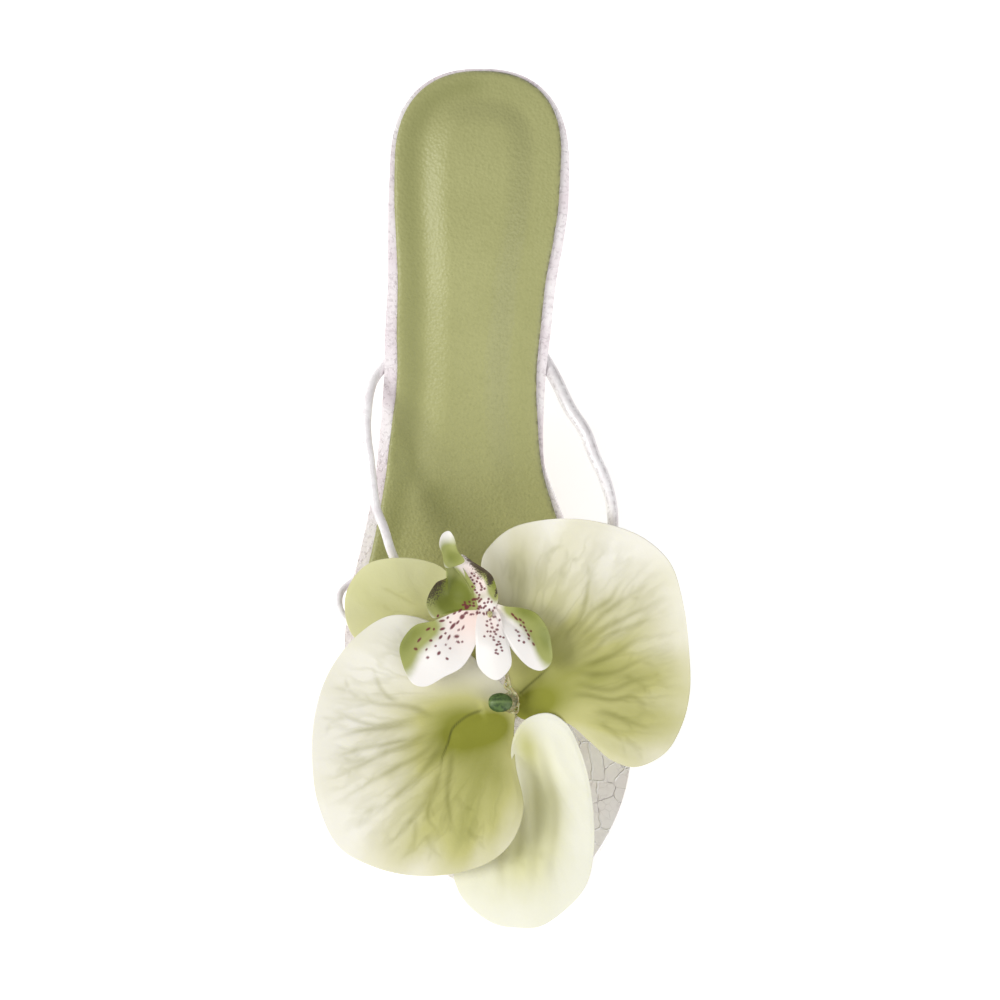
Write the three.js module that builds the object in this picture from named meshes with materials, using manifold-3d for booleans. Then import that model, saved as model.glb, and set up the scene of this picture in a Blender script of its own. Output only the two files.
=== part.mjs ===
// Heeled toe post sandal with an orchid on its toe post: the right shoe of a pair.
// Millimetres, +Z up, toe towards -Y, big toe side towards +X, origin on the floor under the heel's tip.

import * as THREE from 'three';
import { mergeVertices } from 'three/addons/utils/BufferGeometryUtils.js';
import Module from 'manifold-3d';

const wasm = await Module();
wasm.setup();

// Clearance between pieces that are glued or seated together
const FIT = 0.3;

// Last: the form that the sole is built on
const SOLE_LENGTH = 231;
const BALL_WIDTH = 80.4;
const HEEL_HEIGHT = 52.5;
const TOE_SPRING = 5;
const TREAD_END = 0.85;
const SEAT_ROUND = 27;
const SEAT_ROUND_POWER = 2.4;
const TOE_ROUND = 60.7;
const TOE_ROUND_POWER = 1.85;

// Sole pieces
const OUTSOLE_THICKNESS = 2.5;
const OUTSOLE_INSET = 1.2;
const OUTSOLE_BEVEL = 0.5;
const OUTSOLE_TRIM = 4.6;
const BOARD_THICKNESS = 4;
const BOARD_EDGE = 1.6;
const SOCK_THICKNESS = 1;
const SOCK_EDGE = 0.3;
const SOCK_INSET = 0.8;
const SOCK_RIM = 2.6;
const SOCK_END = 0.6;
const PAD_HEIGHT = 2;
const PAD_INSET = 8;
const PAD_SLOPE = 5.8;
const PAD_FADE_START = 0.3;
const PAD_FADE_END = 0.58;

// Heel
const HEEL_TIP_SETBACK = 24;
const SEAT_LENGTH = 48;
const SEAT_INSET = 1.2;
const HEEL_TIP_LENGTH = 10.5;
const HEEL_TIP_WIDTH = 10.5;
const TOP_PIECE_THICKNESS = 5;
const TOP_PIECE_BEVEL = 0.5;

// Straps and toe post
const LATERAL_CORD = 2.6;
const MEDIAL_CORD = 3.6;
const TOE_CORD = 2;
const POST_CORD = 3.4;
const POST_PLACE = 0.76;
const POST_OFFSET = 8.2;
const POST_HEIGHT = 18;
const POST_HEAD = 9.6;
const CORD_TUCK = 3.6;
const CORD_SIDES = 8;

// Flower
const FLOWER_SPAN = 107;
const PETAL_THICKNESS = 0.9;
const STALK_WIDTH = 8.4;
const STALK_HEIGHT = 8.9;
const LIP_SPAN = 44;
const LIP_THICKNESS = 1;
const LIP_STALK = 2.2;
const BUD_LENGTH = 6.4;
const BUD_WIDTH = 5.4;
const BUD_HEIGHT = 3.6;

// How finely the shapes are divided
const SOLE_STATIONS = 30;
const HEEL_STATIONS = 18;
const PETAL_SIDES = 36;
const PETAL_RINGS = [0.15, 0.45, 0.75, 0.92, 1];
const LOBE_SIDES = 18;
const LOBE_RINGS = [0.3, 0.75, 1];

// Last, from the back of the seat (t 0) to the toe (t 1). The centreline's swing to the big toe side
// and the half width are shares of the ball width, and the rise is a share of the heel height.
const LAST = [
  { t: 0.00, swing: 0.007, half: 0.312, rise: 1.045 },
  { t: 0.10, swing: 0.004, half: 0.312, rise: 1.005 },
  { t: 0.16, swing: -0.001, half: 0.314, rise: 0.953 },
  { t: 0.20, swing: -0.009, half: 0.307, rise: 0.905 },
  { t: 0.25, swing: -0.024, half: 0.294, rise: 0.825 },
  { t: 0.30, swing: -0.037, half: 0.291, rise: 0.725 },
  { t: 0.35, swing: -0.048, half: 0.284, rise: 0.615 },
  { t: 0.40, swing: -0.058, half: 0.286, rise: 0.500 },
  { t: 0.45, swing: -0.065, half: 0.295, rise: 0.385 },
  { t: 0.50, swing: -0.053, half: 0.332, rise: 0.275 },
  { t: 0.55, swing: -0.037, half: 0.381, rise: 0.180 },
  { t: 0.60, swing: -0.022, half: 0.433, rise: 0.100 },
  { t: 0.66, swing: 0.001, half: 0.479, rise: 0.028 },
  { t: 0.70, swing: 0.021, half: 0.494, rise: 0 },
  { t: 0.74, swing: 0.040, half: 0.499, rise: 0 },
  { t: 0.85, swing: 0.082, half: 0.499, rise: 0 },
  { t: 0.95, swing: 0.112, half: 0.499, rise: 0 },
  { t: 1.00, swing: 0.138, half: 0.499, rise: 0 },
];

// Bare rim that the sock leaves on each side of the board, beyond its inset, as shares of the sock's rim
const SOCK_RIMS = [
  { t: 0.00, lateral: 0.10, medial: 0.10 },
  { t: 0.12, lateral: 0.23, medial: 0.63 },
  { t: 0.20, lateral: 0.58, medial: 0.85 },
  { t: 0.30, lateral: 1.00, medial: 0.88 },
  { t: 0.37, lateral: 1.15, medial: 0.63 },
  { t: 0.41, lateral: 0.93, medial: 0.28 },
  { t: 0.46, lateral: 0.85, medial: 0.00 },
  { t: 0.50, lateral: 0.88, medial: 0.28 },
  { t: 0.60, lateral: 1.00, medial: 0.58 },
];

// Heel, from its tip (level 0) to the seat (level 1): how far each side has flared from tip to seat
const HEEL_FLARE = [
  { level: 0.00, back: 0.00, front: 0.00, side: 0.00, power: 2.6 },
  { level: 0.15, back: 0.02, front: 0.00, side: 0.02, power: 2.6 },
  { level: 0.35, back: 0.10, front: 0.02, side: 0.08, power: 2.6 },
  { level: 0.55, back: 0.25, front: 0.07, side: 0.19, power: 2.7 },
  { level: 0.70, back: 0.42, front: 0.17, side: 0.34, power: 2.9 },
  { level: 0.82, back: 0.60, front: 0.34, side: 0.53, power: 3.2 },
  { level: 0.90, back: 0.76, front: 0.54, side: 0.72, power: 3.6 },
  { level: 0.96, back: 0.90, front: 0.78, side: 0.89, power: 4.2 },
  { level: 1.00, back: 1.00, front: 1.00, side: 1.00, power: 5.0 },
];

// Cords, from where they leave the sole's edge to the post's head: place along the sole, distance beyond
// the board's edge as a share of the ball width, and height over the board as a share of the post's height
const LATERAL_ROUTE = [
  { t: 0.373, beyond: 0.037, up: 0.19 },
  { t: 0.411, beyond: 0.044, up: 0.51 },
  { t: 0.439, beyond: 0.034, up: 0.69 },
  { t: 0.464, beyond: 0.015, up: 0.81 },
  { t: 0.496, beyond: -0.012, up: 0.92 },
  { t: 0.523, beyond: -0.041, up: 0.97 },
  { t: 0.547, beyond: -0.085, up: 0.99 },
  { t: 0.575, beyond: -0.133, up: 0.96 },
  { t: 0.631, beyond: -0.248, up: 0.95 },
  { t: 0.686, beyond: -0.374, up: 0.97 },
  { t: 0.725, beyond: -0.478, up: 1.00 },
];
const MEDIAL_ROUTE = [
  { t: 0.367, beyond: 0.040, up: 0.10 },
  { t: 0.402, beyond: 0.089, up: 0.48 },
  { t: 0.435, beyond: 0.147, up: 0.78 },
  { t: 0.464, beyond: 0.166, up: 0.97 },
  { t: 0.490, beyond: 0.172, up: 1.10 },
  { t: 0.518, beyond: 0.162, up: 1.14 },
  { t: 0.544, beyond: 0.134, up: 1.12 },
  { t: 0.585, beyond: 0.069, up: 1.06 },
  { t: 0.633, beyond: -0.042, up: 1.06 },
  { t: 0.681, beyond: -0.178, up: 1.05 },
  { t: 0.720, beyond: -0.310, up: 1.01 },
];
const TOE_LATERAL_ROUTE = [
  { t: 0.611, beyond: 0.030, up: 0.08 },
  { t: 0.640, beyond: 0.012, up: 0.51 },
  { t: 0.677, beyond: -0.088, up: 0.80 },
  { t: 0.715, beyond: -0.229, up: 0.95 },
  { t: 0.740, beyond: -0.394, up: 1.00 },
];
const TOE_MEDIAL_ROUTE = [
  { t: 0.715, beyond: 0.022, up: 0.20 },
  { t: 0.731, beyond: -0.030, up: 0.55 },
  { t: 0.745, beyond: -0.130, up: 0.83 },
  { t: 0.755, beyond: -0.259, up: 0.98 },
];
const LATERAL_EXIT = 0.345;
const MEDIAL_EXIT = 0.342;
const TOE_LATERAL_EXIT = 0.594;
const TOE_MEDIAL_EXIT = 0.705;
const EXIT_SLANT = 0.018;

// Petals and sepals: the outline round each one, from the flower's middle, as shares of the flower's span,
// across to the big toe side, along to the toe, and lift over the post's head. The heart is its middle.
const PETAL_LATERAL = {
  heart: { across: -0.24, along: 0.10, lift: 0.068 },
  outline: [
    { across: -0.165, along: -0.181, lift: 0.109 },
    { across: -0.227, along: -0.214, lift: 0.119 },
    { across: -0.310, along: -0.220, lift: 0.123 },
    { across: -0.397, along: -0.166, lift: 0.119 },
    { across: -0.470, along: -0.071, lift: 0.100 },
    { across: -0.506, along: 0.046, lift: 0.091 },
    { across: -0.510, along: 0.171, lift: 0.081 },
    { across: -0.493, along: 0.274, lift: 0.063 },
    { across: -0.441, along: 0.377, lift: 0.044 },
    { across: -0.356, along: 0.426, lift: 0.035 },
    { across: -0.251, along: 0.451, lift: 0.035 },
    { across: -0.141, along: 0.447, lift: 0.044 },
    { across: -0.044, along: 0.416, lift: 0.058 },
    { across: 0.013, along: 0.363, lift: 0.072 },
    { across: 0.041, along: 0.280, lift: 0.081 },
    { across: 0.021, along: 0.169, lift: 0.072 },
    { across: -0.002, along: 0.085, lift: 0.063 },
    { across: -0.024, along: 0.012, lift: 0.063 },
    { across: -0.086, along: -0.096, lift: 0.091 },
  ],
};
const PETAL_MEDIAL = {
  heart: { across: 0.22, along: -0.16, lift: 0.102 },
  outline: [
    { across: -0.068, along: -0.367, lift: 0.137 },
    { across: -0.037, along: -0.413, lift: 0.147 },
    { across: 0.013, along: -0.449, lift: 0.156 },
    { across: 0.102, along: -0.468, lift: 0.165 },
    { across: 0.191, along: -0.467, lift: 0.175 },
    { across: 0.285, along: -0.448, lift: 0.175 },
    { across: 0.361, along: -0.414, lift: 0.175 },
    { across: 0.425, along: -0.352, lift: 0.165 },
    { across: 0.457, along: -0.250, lift: 0.156 },
    { across: 0.471, along: -0.139, lift: 0.147 },
    { across: 0.474, along: -0.020, lift: 0.128 },
    { across: 0.453, along: 0.067, lift: 0.109 },
    { across: 0.409, along: 0.138, lift: 0.095 },
    { across: 0.332, along: 0.173, lift: 0.086 },
    { across: 0.270, along: 0.154, lift: 0.081 },
    { across: 0.211, along: 0.102, lift: 0.077 },
    { across: 0.154, along: 0.051, lift: 0.072 },
    { across: 0.102, along: 0.024, lift: 0.067 },
    { across: 0.028, along: 0.000, lift: 0.063 },
    { across: -0.015, along: -0.111, lift: 0.081 },
    { across: -0.058, along: -0.264, lift: 0.119 },
  ],
};
const SEPAL_FRONT = {
  heart: { across: 0.05, along: 0.28, lift: 0.021 },
  outline: [
    { across: 0.102, along: 0.022, lift: 0.025 },
    { across: 0.155, along: 0.052, lift: 0.035 },
    { across: 0.191, along: 0.128, lift: 0.035 },
    { across: 0.212, along: 0.201, lift: 0.030 },
    { across: 0.223, along: 0.274, lift: 0.025 },
    { across: 0.225, along: 0.386, lift: 0.016 },
    { across: 0.203, along: 0.477, lift: 0.007 },
    { across: 0.141, along: 0.545, lift: -0.003 },
    { across: 0.082, along: 0.581, lift: -0.007 },
    { across: 0.030, along: 0.584, lift: -0.007 },
    { across: -0.034, along: 0.574, lift: -0.007 },
    { across: -0.098, along: 0.530, lift: -0.003 },
    { across: -0.132, along: 0.482, lift: -0.003 },
    { across: -0.143, along: 0.400, lift: 0.000 },
    { across: -0.126, along: 0.275, lift: 0.007 },
    { across: -0.073, along: 0.171, lift: 0.016 },
    { across: -0.016, along: 0.066, lift: 0.021 },
    { across: 0.020, along: 0.020, lift: 0.021 },
  ],
};
const SEPAL_LATERAL = {
  heart: { across: -0.25, along: -0.20, lift: 0.046 },
  outline: [
    { across: -0.410, along: -0.183, lift: 0.044 },
    { across: -0.429, along: -0.264, lift: 0.055 },
    { across: -0.410, along: -0.323, lift: 0.068 },
    { across: -0.363, along: -0.366, lift: 0.085 },
    { across: -0.289, along: -0.379, lift: 0.092 },
    { across: -0.215, along: -0.371, lift: 0.090 },
    { across: -0.168, along: -0.350, lift: 0.083 },
    { across: -0.087, along: -0.221, lift: 0.056 },
    { across: -0.030, along: -0.060, lift: 0.033 },
    { across: -0.024, along: -0.012, lift: 0.025 },
    { across: -0.110, along: -0.030, lift: 0.025 },
    { across: -0.205, along: -0.066, lift: 0.025 },
    { across: -0.336, along: -0.131, lift: 0.035 },
  ],
};
const SEPAL_MEDIAL = {
  heart: { across: 0.26, along: -0.23, lift: 0.082 },
  outline: [
    { across: 0.010, along: -0.028, lift: 0.033 },
    { across: 0.084, along: -0.167, lift: 0.063 },
    { across: 0.189, along: -0.295, lift: 0.091 },
    { across: 0.294, along: -0.372, lift: 0.109 },
    { across: 0.385, along: -0.389, lift: 0.119 },
    { across: 0.432, along: -0.369, lift: 0.123 },
    { across: 0.442, along: -0.330, lift: 0.123 },
    { across: 0.419, along: -0.265, lift: 0.114 },
    { across: 0.346, along: -0.163, lift: 0.091 },
    { across: 0.215, along: -0.062, lift: 0.053 },
    { across: 0.090, along: -0.010, lift: 0.035 },
    { across: 0.030, along: -0.008, lift: 0.033 },
  ],
};

// Lip: where its heart stands from the flower's middle, as shares of the flower's span, and its lobes'
// outlines from that heart, as shares of the lip's span
const LIP_HEART = { across: -0.055, along: -0.238, lift: 0.165 };
const LIP_LOBES = [
  // Left wing
  {
    heart: { across: -0.32, along: 0.27, lift: -0.05 },
    outline: [
      { across: -0.02, along: -0.01, lift: 0.00 },
      { across: -0.18, along: 0.03, lift: 0.01 },
      { across: -0.34, along: 0.09, lift: 0.00 },
      { across: -0.46, along: 0.12, lift: -0.02 },
      { across: -0.55, along: 0.24, lift: -0.05 },
      { across: -0.54, along: 0.34, lift: -0.06 },
      { across: -0.47, along: 0.48, lift: -0.07 },
      { across: -0.39, along: 0.50, lift: -0.07 },
      { across: -0.27, along: 0.44, lift: -0.06 },
      { across: -0.16, along: 0.38, lift: -0.05 },
      { across: -0.08, along: 0.26, lift: -0.03 },
      { across: -0.04, along: 0.13, lift: -0.01 },
    ],
  },
  // Tongue
  {
    heart: { across: 0.04, along: 0.26, lift: -0.01 },
    outline: [
      { across: 0.00, along: -0.03, lift: 0.00 },
      { across: -0.06, along: 0.06, lift: 0.00 },
      { across: -0.07, along: 0.24, lift: -0.01 },
      { across: -0.05, along: 0.38, lift: -0.05 },
      { across: 0.06, along: 0.46, lift: -0.07 },
      { across: 0.15, along: 0.38, lift: -0.05 },
      { across: 0.15, along: 0.28, lift: -0.02 },
      { across: 0.11, along: 0.15, lift: -0.01 },
      { across: 0.07, along: 0.03, lift: 0.00 },
    ],
  },
  // Right wing
  {
    heart: { across: 0.27, along: 0.20, lift: -0.04 },
    outline: [
      { across: 0.02, along: -0.02, lift: 0.00 },
      { across: 0.13, along: 0.00, lift: 0.01 },
      { across: 0.22, along: 0.01, lift: 0.01 },
      { across: 0.31, along: 0.04, lift: 0.00 },
      { across: 0.38, along: 0.13, lift: -0.01 },
      { across: 0.41, along: 0.24, lift: -0.02 },
      { across: 0.41, along: 0.35, lift: -0.03 },
      { across: 0.35, along: 0.40, lift: -0.05 },
      { across: 0.27, along: 0.38, lift: -0.05 },
      { across: 0.14, along: 0.24, lift: -0.02 },
      { across: 0.06, along: 0.08, lift: 0.00 },
    ],
  },
  // Left half of the throat
  {
    heart: { across: -0.24, along: -0.06, lift: 0.05 },
    outline: [
      { across: -0.02, along: 0.00, lift: 0.00 },
      { across: -0.18, along: 0.03, lift: 0.01 },
      { across: -0.28, along: 0.06, lift: 0.03 },
      { across: -0.34, along: 0.08, lift: 0.05 },
      { across: -0.38, along: -0.01, lift: 0.10 },
      { across: -0.32, along: -0.13, lift: 0.14 },
      { across: -0.25, along: -0.17, lift: 0.14 },
      { across: -0.26, along: -0.25, lift: 0.14 },
      { across: -0.20, along: -0.28, lift: 0.12 },
      { across: -0.10, along: -0.16, lift: 0.06 },
    ],
  },
  // Right half of the throat
  {
    heart: { across: -0.04, along: -0.17, lift: 0.08 },
    outline: [
      { across: -0.04, along: 0.02, lift: 0.00 },
      { across: -0.13, along: -0.14, lift: 0.06 },
      { across: -0.22, along: -0.27, lift: 0.13 },
      { across: -0.16, along: -0.31, lift: 0.15 },
      { across: -0.08, along: -0.26, lift: 0.15 },
      { across: 0.00, along: -0.21, lift: 0.14 },
      { across: 0.04, along: -0.17, lift: 0.11 },
      { across: 0.07, along: -0.03, lift: 0.02 },
      { across: 0.03, along: 0.02, lift: 0.00 },
    ],
  },
  // Tendril at the throat's far end
  {
    heart: { across: -0.24, along: -0.34, lift: 0.15 },
    outline: [
      { across: -0.20, along: -0.24, lift: 0.12 },
      { across: -0.26, along: -0.23, lift: 0.14 },
      { across: -0.28, along: -0.31, lift: 0.16 },
      { across: -0.30, along: -0.37, lift: 0.19 },
      { across: -0.28, along: -0.43, lift: 0.22 },
      { across: -0.24, along: -0.45, lift: 0.22 },
      { across: -0.21, along: -0.42, lift: 0.20 },
      { across: -0.18, along: -0.33, lift: 0.16 },
      { across: -0.14, along: -0.27, lift: 0.14 },
    ],
  },
];

// Wire stalk from the flower's boss up to the lip, from the flower's middle, as shares of the flower's span
const LIP_STALK_ROUTE = [
  { across: 0.008, along: -0.015, lift: 0.072 },
  { across: 0.004, along: -0.045, lift: 0.104 },
  { across: -0.010, along: -0.090, lift: 0.120 },
  { across: -0.030, along: -0.160, lift: 0.134 },
  { across: -0.045, along: -0.205, lift: 0.148 },
  { across: -0.047, along: -0.221, lift: 0.172 },
];

// Finishes
const FINISHES = {
  crackleLeather: { color: 0xe6dfe2, roughness: 0.42, metalness: 0.05 },
  strapLeather: { color: 0xe9e5e6, roughness: 0.4, metalness: 0.03 },
  soleLeather: { color: 0xd8c8ae, roughness: 0.6, metalness: 0 },
  greenLeather: { color: 0xa5a569, roughness: 0.5, metalness: 0 },
  rubber: { color: 0xcfc5bd, roughness: 0.6, metalness: 0 },
  petal: { color: 0xdfe2b4, roughness: 0.6, metalness: 0 },
  sepal: { color: 0xd2d98c, roughness: 0.6, metalness: 0 },
  lip: { color: 0xf3efe6, roughness: 0.55, metalness: 0 },
  bud: { color: 0x4f7a4a, roughness: 0.45, metalness: 0 },
  glue: { color: 0xb9b7a0, roughness: 0.3, metalness: 0 },
};

// Tables are read by a cubic that never overshoots its rows, so level stretches stay level
function readTable(rows, column, t) {
  const last = rows.length - 1;
  if (t <= rows[0].t) return rows[0][column];
  if (t >= rows[last].t) return rows[last][column];
  const slopeBetween = (i) => (rows[i + 1][column] - rows[i][column]) / (rows[i + 1].t - rows[i].t);
  const slopeAt = (i) => {
    if (i === 0 || i === last) return 0;
    const before = slopeBetween(i - 1);
    const after = slopeBetween(i);
    return before * after <= 0 ? 0 : (2 * before * after) / (before + after);
  };
  let i = 0;
  while (t > rows[i + 1].t) i += 1;
  const step = rows[i + 1].t - rows[i].t;
  const u = (t - rows[i].t) / step;
  const rest = 1 - u;
  const ends = rows[i][column] * (1 + 2 * u) * rest * rest + rows[i + 1][column] * u * u * (3 - 2 * u);
  return ends + step * u * rest * (slopeAt(i) * rest - slopeAt(i + 1) * u);
}

// Side view of the last: the board's underside at a place along the sole
function profile(t) {
  const spring = TOE_SPRING * Math.max(0, (t - TREAD_END) / (1 - TREAD_END)) ** 2;
  const rise = HEEL_HEIGHT * readTable(LAST, 'rise', t);
  return { y: HEEL_TIP_SETBACK - t * SOLE_LENGTH, z: OUTSOLE_THICKNESS + FIT + rise + spring };
}

// A point on the last: a place along it, a distance from its middle plane and a height square to it
function onLast(t, x, up) {
  const step = 0.001;
  const here = profile(t);
  const behind = profile(Math.max(0, t - step));
  const ahead = profile(Math.min(1, t + step));
  const run = behind.y - ahead.y;
  const drop = behind.z - ahead.z;
  const slope = Math.hypot(run, drop);
  return new THREE.Vector3(x, here.y - (up * drop) / slope, here.z + (up * run) / slope);
}

// Share of the full width that is left at a distance into a rounded end
function roundEnd(distance, length, power) {
  const rest = 1 - Math.min(1, Math.max(0, distance / length));
  return (1 - rest ** power) ** (1 / power);
}

function swing(t) {
  return readTable(LAST, 'swing', t) * BALL_WIDTH;
}

function halfWidth(t, inset) {
  const s = t * SOLE_LENGTH;
  const seat = roundEnd(s - inset, SEAT_ROUND - inset, SEAT_ROUND_POWER);
  const toe = roundEnd(SOLE_LENGTH - inset - s, TOE_ROUND - inset, TOE_ROUND_POWER);
  return (readTable(LAST, 'half', t) * BALL_WIDTH - inset) * seat * toe;
}

// Shares from 0 to 1 that stand closer together at both ends
function stations(count) {
  return Array.from({ length: count + 1 }, (_, i) => (1 - Math.cos((Math.PI * i) / count)) / 2);
}

// A closed line round the sole: down the small toes' side and back up the big toe's side
function soleRing({ inset, up, back = 0, front = 1, rims = false }) {
  const start = back + inset / SOLE_LENGTH;
  const end = front - inset / SOLE_LENGTH;
  const lateral = [];
  const medial = [];
  stations(SOLE_STATIONS).forEach((share) => {
    const t = start + (end - start) * share;
    const half = halfWidth(t, inset);
    const fullness = half / halfWidth(t, 0) || 0;
    const lateralRim = rims ? readTable(SOCK_RIMS, 'lateral', t) * SOCK_RIM * fullness : 0;
    const medialRim = rims ? readTable(SOCK_RIMS, 'medial', t) * SOCK_RIM * fullness : 0;
    const height = typeof up === 'function' ? up(t) : up;
    lateral.push(onLast(t, swing(t) - Math.max(0, half - lateralRim), height));
    medial.unshift(onLast(t, swing(t) + Math.max(0, half - medialRim), height));
  });
  return [...lateral, ...medial];
}

// A closed solid through rings of equal count, its first and last ring closed from side to side
function loft(rings) {
  const count = rings[0].length;
  const top = (rings.length - 1) * count;
  const triangles = [];
  for (let r = 0; r < rings.length - 1; r += 1) {
    for (let i = 0; i < count; i += 1) {
      const a = r * count + i;
      const b = r * count + ((i + 1) % count);
      triangles.push([a, b, b + count], [a, b + count, a + count]);
    }
  }
  for (let i = 0; i < count / 2 - 1; i += 1) {
    const j = count - 1 - i;
    triangles.push([i + 1, i, j], [i + 1, j, j - 1]);
    triangles.push([top + i, top + i + 1, top + j - 1], [top + i, top + j - 1, top + j]);
  }
  const geometry = new THREE.BufferGeometry();
  const positions = rings.flat().flatMap((point) => point.toArray());
  geometry.setAttribute('position', new THREE.Float32BufferAttribute(positions, 3));
  geometry.setIndex(triangles.flat());
  return toSolid(geometry);
}

// A manifold solid from a closed geometry, its faces turned outward
function toSolid(geometry) {
  geometry.deleteAttribute('normal');
  geometry.deleteAttribute('uv');
  const merged = mergeVertices(geometry, 1e-4);
  const position = merged.attributes.position;
  const index = merged.index.array;
  const triangles = [];
  const corners = [new THREE.Vector3(), new THREE.Vector3(), new THREE.Vector3()];
  let volume = 0;
  for (let i = 0; i < index.length; i += 3) {
    const triangle = [index[i], index[i + 1], index[i + 2]];
    if (new Set(triangle).size === 3) {
      triangles.push(triangle);
      corners.forEach((corner, k) => corner.fromBufferAttribute(position, triangle[k]));
      volume += corners[0].dot(corners[1].clone().cross(corners[2]));
    }
  }
  if (volume < 0) triangles.forEach((triangle) => triangle.reverse());
  return new wasm.Manifold(new wasm.Mesh({
    numProp: 3,
    vertProperties: new Float32Array(position.array),
    triVerts: new Uint32Array(triangles.flat()),
  }));
}

function toGeometry(solid) {
  const mesh = solid.getMesh();
  const geometry = new THREE.BufferGeometry();
  geometry.setAttribute('position', new THREE.Float32BufferAttribute(mesh.vertProperties, 3));
  geometry.setIndex(Array.from(mesh.triVerts));
  geometry.computeVertexNormals();
  return geometry;
}

// A round cord along a smooth line through its points
function cord(points, width, steps) {
  const section = Array.from({ length: CORD_SIDES }, (_, i) => {
    const angle = (2 * Math.PI * i) / CORD_SIDES;
    return new THREE.Vector2(Math.cos(angle), Math.sin(angle)).multiplyScalar(width / 2);
  });
  const path = new THREE.CatmullRomCurve3(points, false, 'centripetal');
  const options = { steps, bevelEnabled: false, extrudePath: path };
  return toSolid(new THREE.ExtrudeGeometry(new THREE.Shape(section), options));
}

// Sole pieces
const BOARD_TOP = BOARD_THICKNESS;
const SOCK_BOTTOM = BOARD_TOP + FIT;

function boardSolid() {
  return loft([
    soleRing({ inset: BOARD_EDGE * 0.8, up: 0 }),
    soleRing({ inset: BOARD_EDGE * 0.25, up: BOARD_THICKNESS * 0.08 }),
    soleRing({ inset: 0, up: BOARD_THICKNESS * 0.3 }),
    soleRing({ inset: 0, up: BOARD_THICKNESS - BOARD_EDGE }),
    soleRing({ inset: BOARD_EDGE * 0.13, up: BOARD_THICKNESS - BOARD_EDGE * 0.5 }),
    soleRing({ inset: BOARD_EDGE * 0.5, up: BOARD_THICKNESS - BOARD_EDGE * 0.13 }),
    soleRing({ inset: BOARD_EDGE, up: BOARD_THICKNESS }),
  ]);
}

// The outsole runs from the heel's breast to the toe
function outsoleSolid() {
  const back = (SEAT_LENGTH - OUTSOLE_TRIM) / SOLE_LENGTH;
  const bottom = -FIT - OUTSOLE_THICKNESS;
  const sheet = loft([
    soleRing({ inset: OUTSOLE_INSET + OUTSOLE_BEVEL, up: bottom, back }),
    soleRing({ inset: OUTSOLE_INSET, up: bottom + OUTSOLE_BEVEL, back }),
    soleRing({ inset: OUTSOLE_INSET, up: -FIT, back }),
  ]);
  const depth = SEAT_LENGTH;
  const behind = new THREE.BoxGeometry(2 * BALL_WIDTH, depth, 4 * HEEL_HEIGHT);
  behind.translate(0, HEEL_TIP_SETBACK - SEAT_LENGTH - FIT + depth / 2, HEEL_HEIGHT);
  return sheet.subtract(toSolid(behind));
}

function padLift(t) {
  const u = Math.min(1, Math.max(0, (t - PAD_FADE_START) / (PAD_FADE_END - PAD_FADE_START)));
  return PAD_HEIGHT * (1 - u * u * (3 - 2 * u));
}

function sockSolid() {
  const top = SOCK_BOTTOM + SOCK_THICKNESS;
  const ring = (inset, up) => soleRing({ inset: SOCK_INSET + inset, up, front: SOCK_END, rims: true });
  return loft([
    ring(0, SOCK_BOTTOM),
    ring(0, top - SOCK_EDGE),
    ring(SOCK_EDGE, top),
    ring(PAD_INSET, top),
    ring(PAD_INSET + PAD_SLOPE * 0.3, (t) => top + padLift(t) * 0.25),
    ring(PAD_INSET + PAD_SLOPE * 0.65, (t) => top + padLift(t) * 0.75),
    ring(PAD_INSET + PAD_SLOPE, (t) => top + padLift(t)),
  ]);
}

// A level ring of the heel, rounder at its back than at its breast
function heelRing(z, back, front, half, power) {
  const middle = (back - front) / 2;
  const reach = (back + front) / 2;
  const lateral = [];
  const medial = [];
  for (let i = 0; i <= HEEL_STATIONS; i += 1) {
    const angle = (Math.PI * i) / HEEL_STATIONS;
    const roundness = angle <= Math.PI / 2 ? SEAT_ROUND_POWER : power;
    const across = half * Math.abs(Math.sin(angle)) ** (2 / roundness);
    const y = middle + reach * Math.sign(Math.cos(angle)) * Math.abs(Math.cos(angle)) ** (2 / roundness);
    lateral.push(new THREE.Vector3(i === HEEL_STATIONS ? 0 : -across, y, z));
    medial.unshift(new THREE.Vector3(i === HEEL_STATIONS ? 0 : across, y, z));
  }
  return [...lateral, ...medial];
}

// Everything over the board's underside, with a clearance: it gives the heel its seat
function overSeat() {
  const top = 3 * HEEL_HEIGHT;
  const outline = [new THREE.Vector2(HEEL_TIP_SETBACK + SEAT_LENGTH, top)];
  const first = onLast(0, 0, -FIT);
  outline.push(new THREE.Vector2(first.y + SEAT_LENGTH, first.z));
  for (let i = 0; i <= SOLE_STATIONS; i += 1) {
    const point = onLast((i / SOLE_STATIONS) * ((1.5 * SEAT_LENGTH) / SOLE_LENGTH), 0, -FIT);
    outline.push(new THREE.Vector2(point.y, point.z));
  }
  outline.push(new THREE.Vector2(outline[outline.length - 1].x, top));
  const block = new THREE.ExtrudeGeometry(new THREE.Shape(outline), { depth: 2 * BALL_WIDTH, bevelEnabled: false });
  const turn = new THREE.Matrix4().makeBasis(
    new THREE.Vector3(0, 1, 0),
    new THREE.Vector3(0, 0, 1),
    new THREE.Vector3(1, 0, 0),
  );
  block.applyMatrix4(turn);
  block.translate(-BALL_WIDTH, 0, 0);
  return toSolid(block);
}

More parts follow.
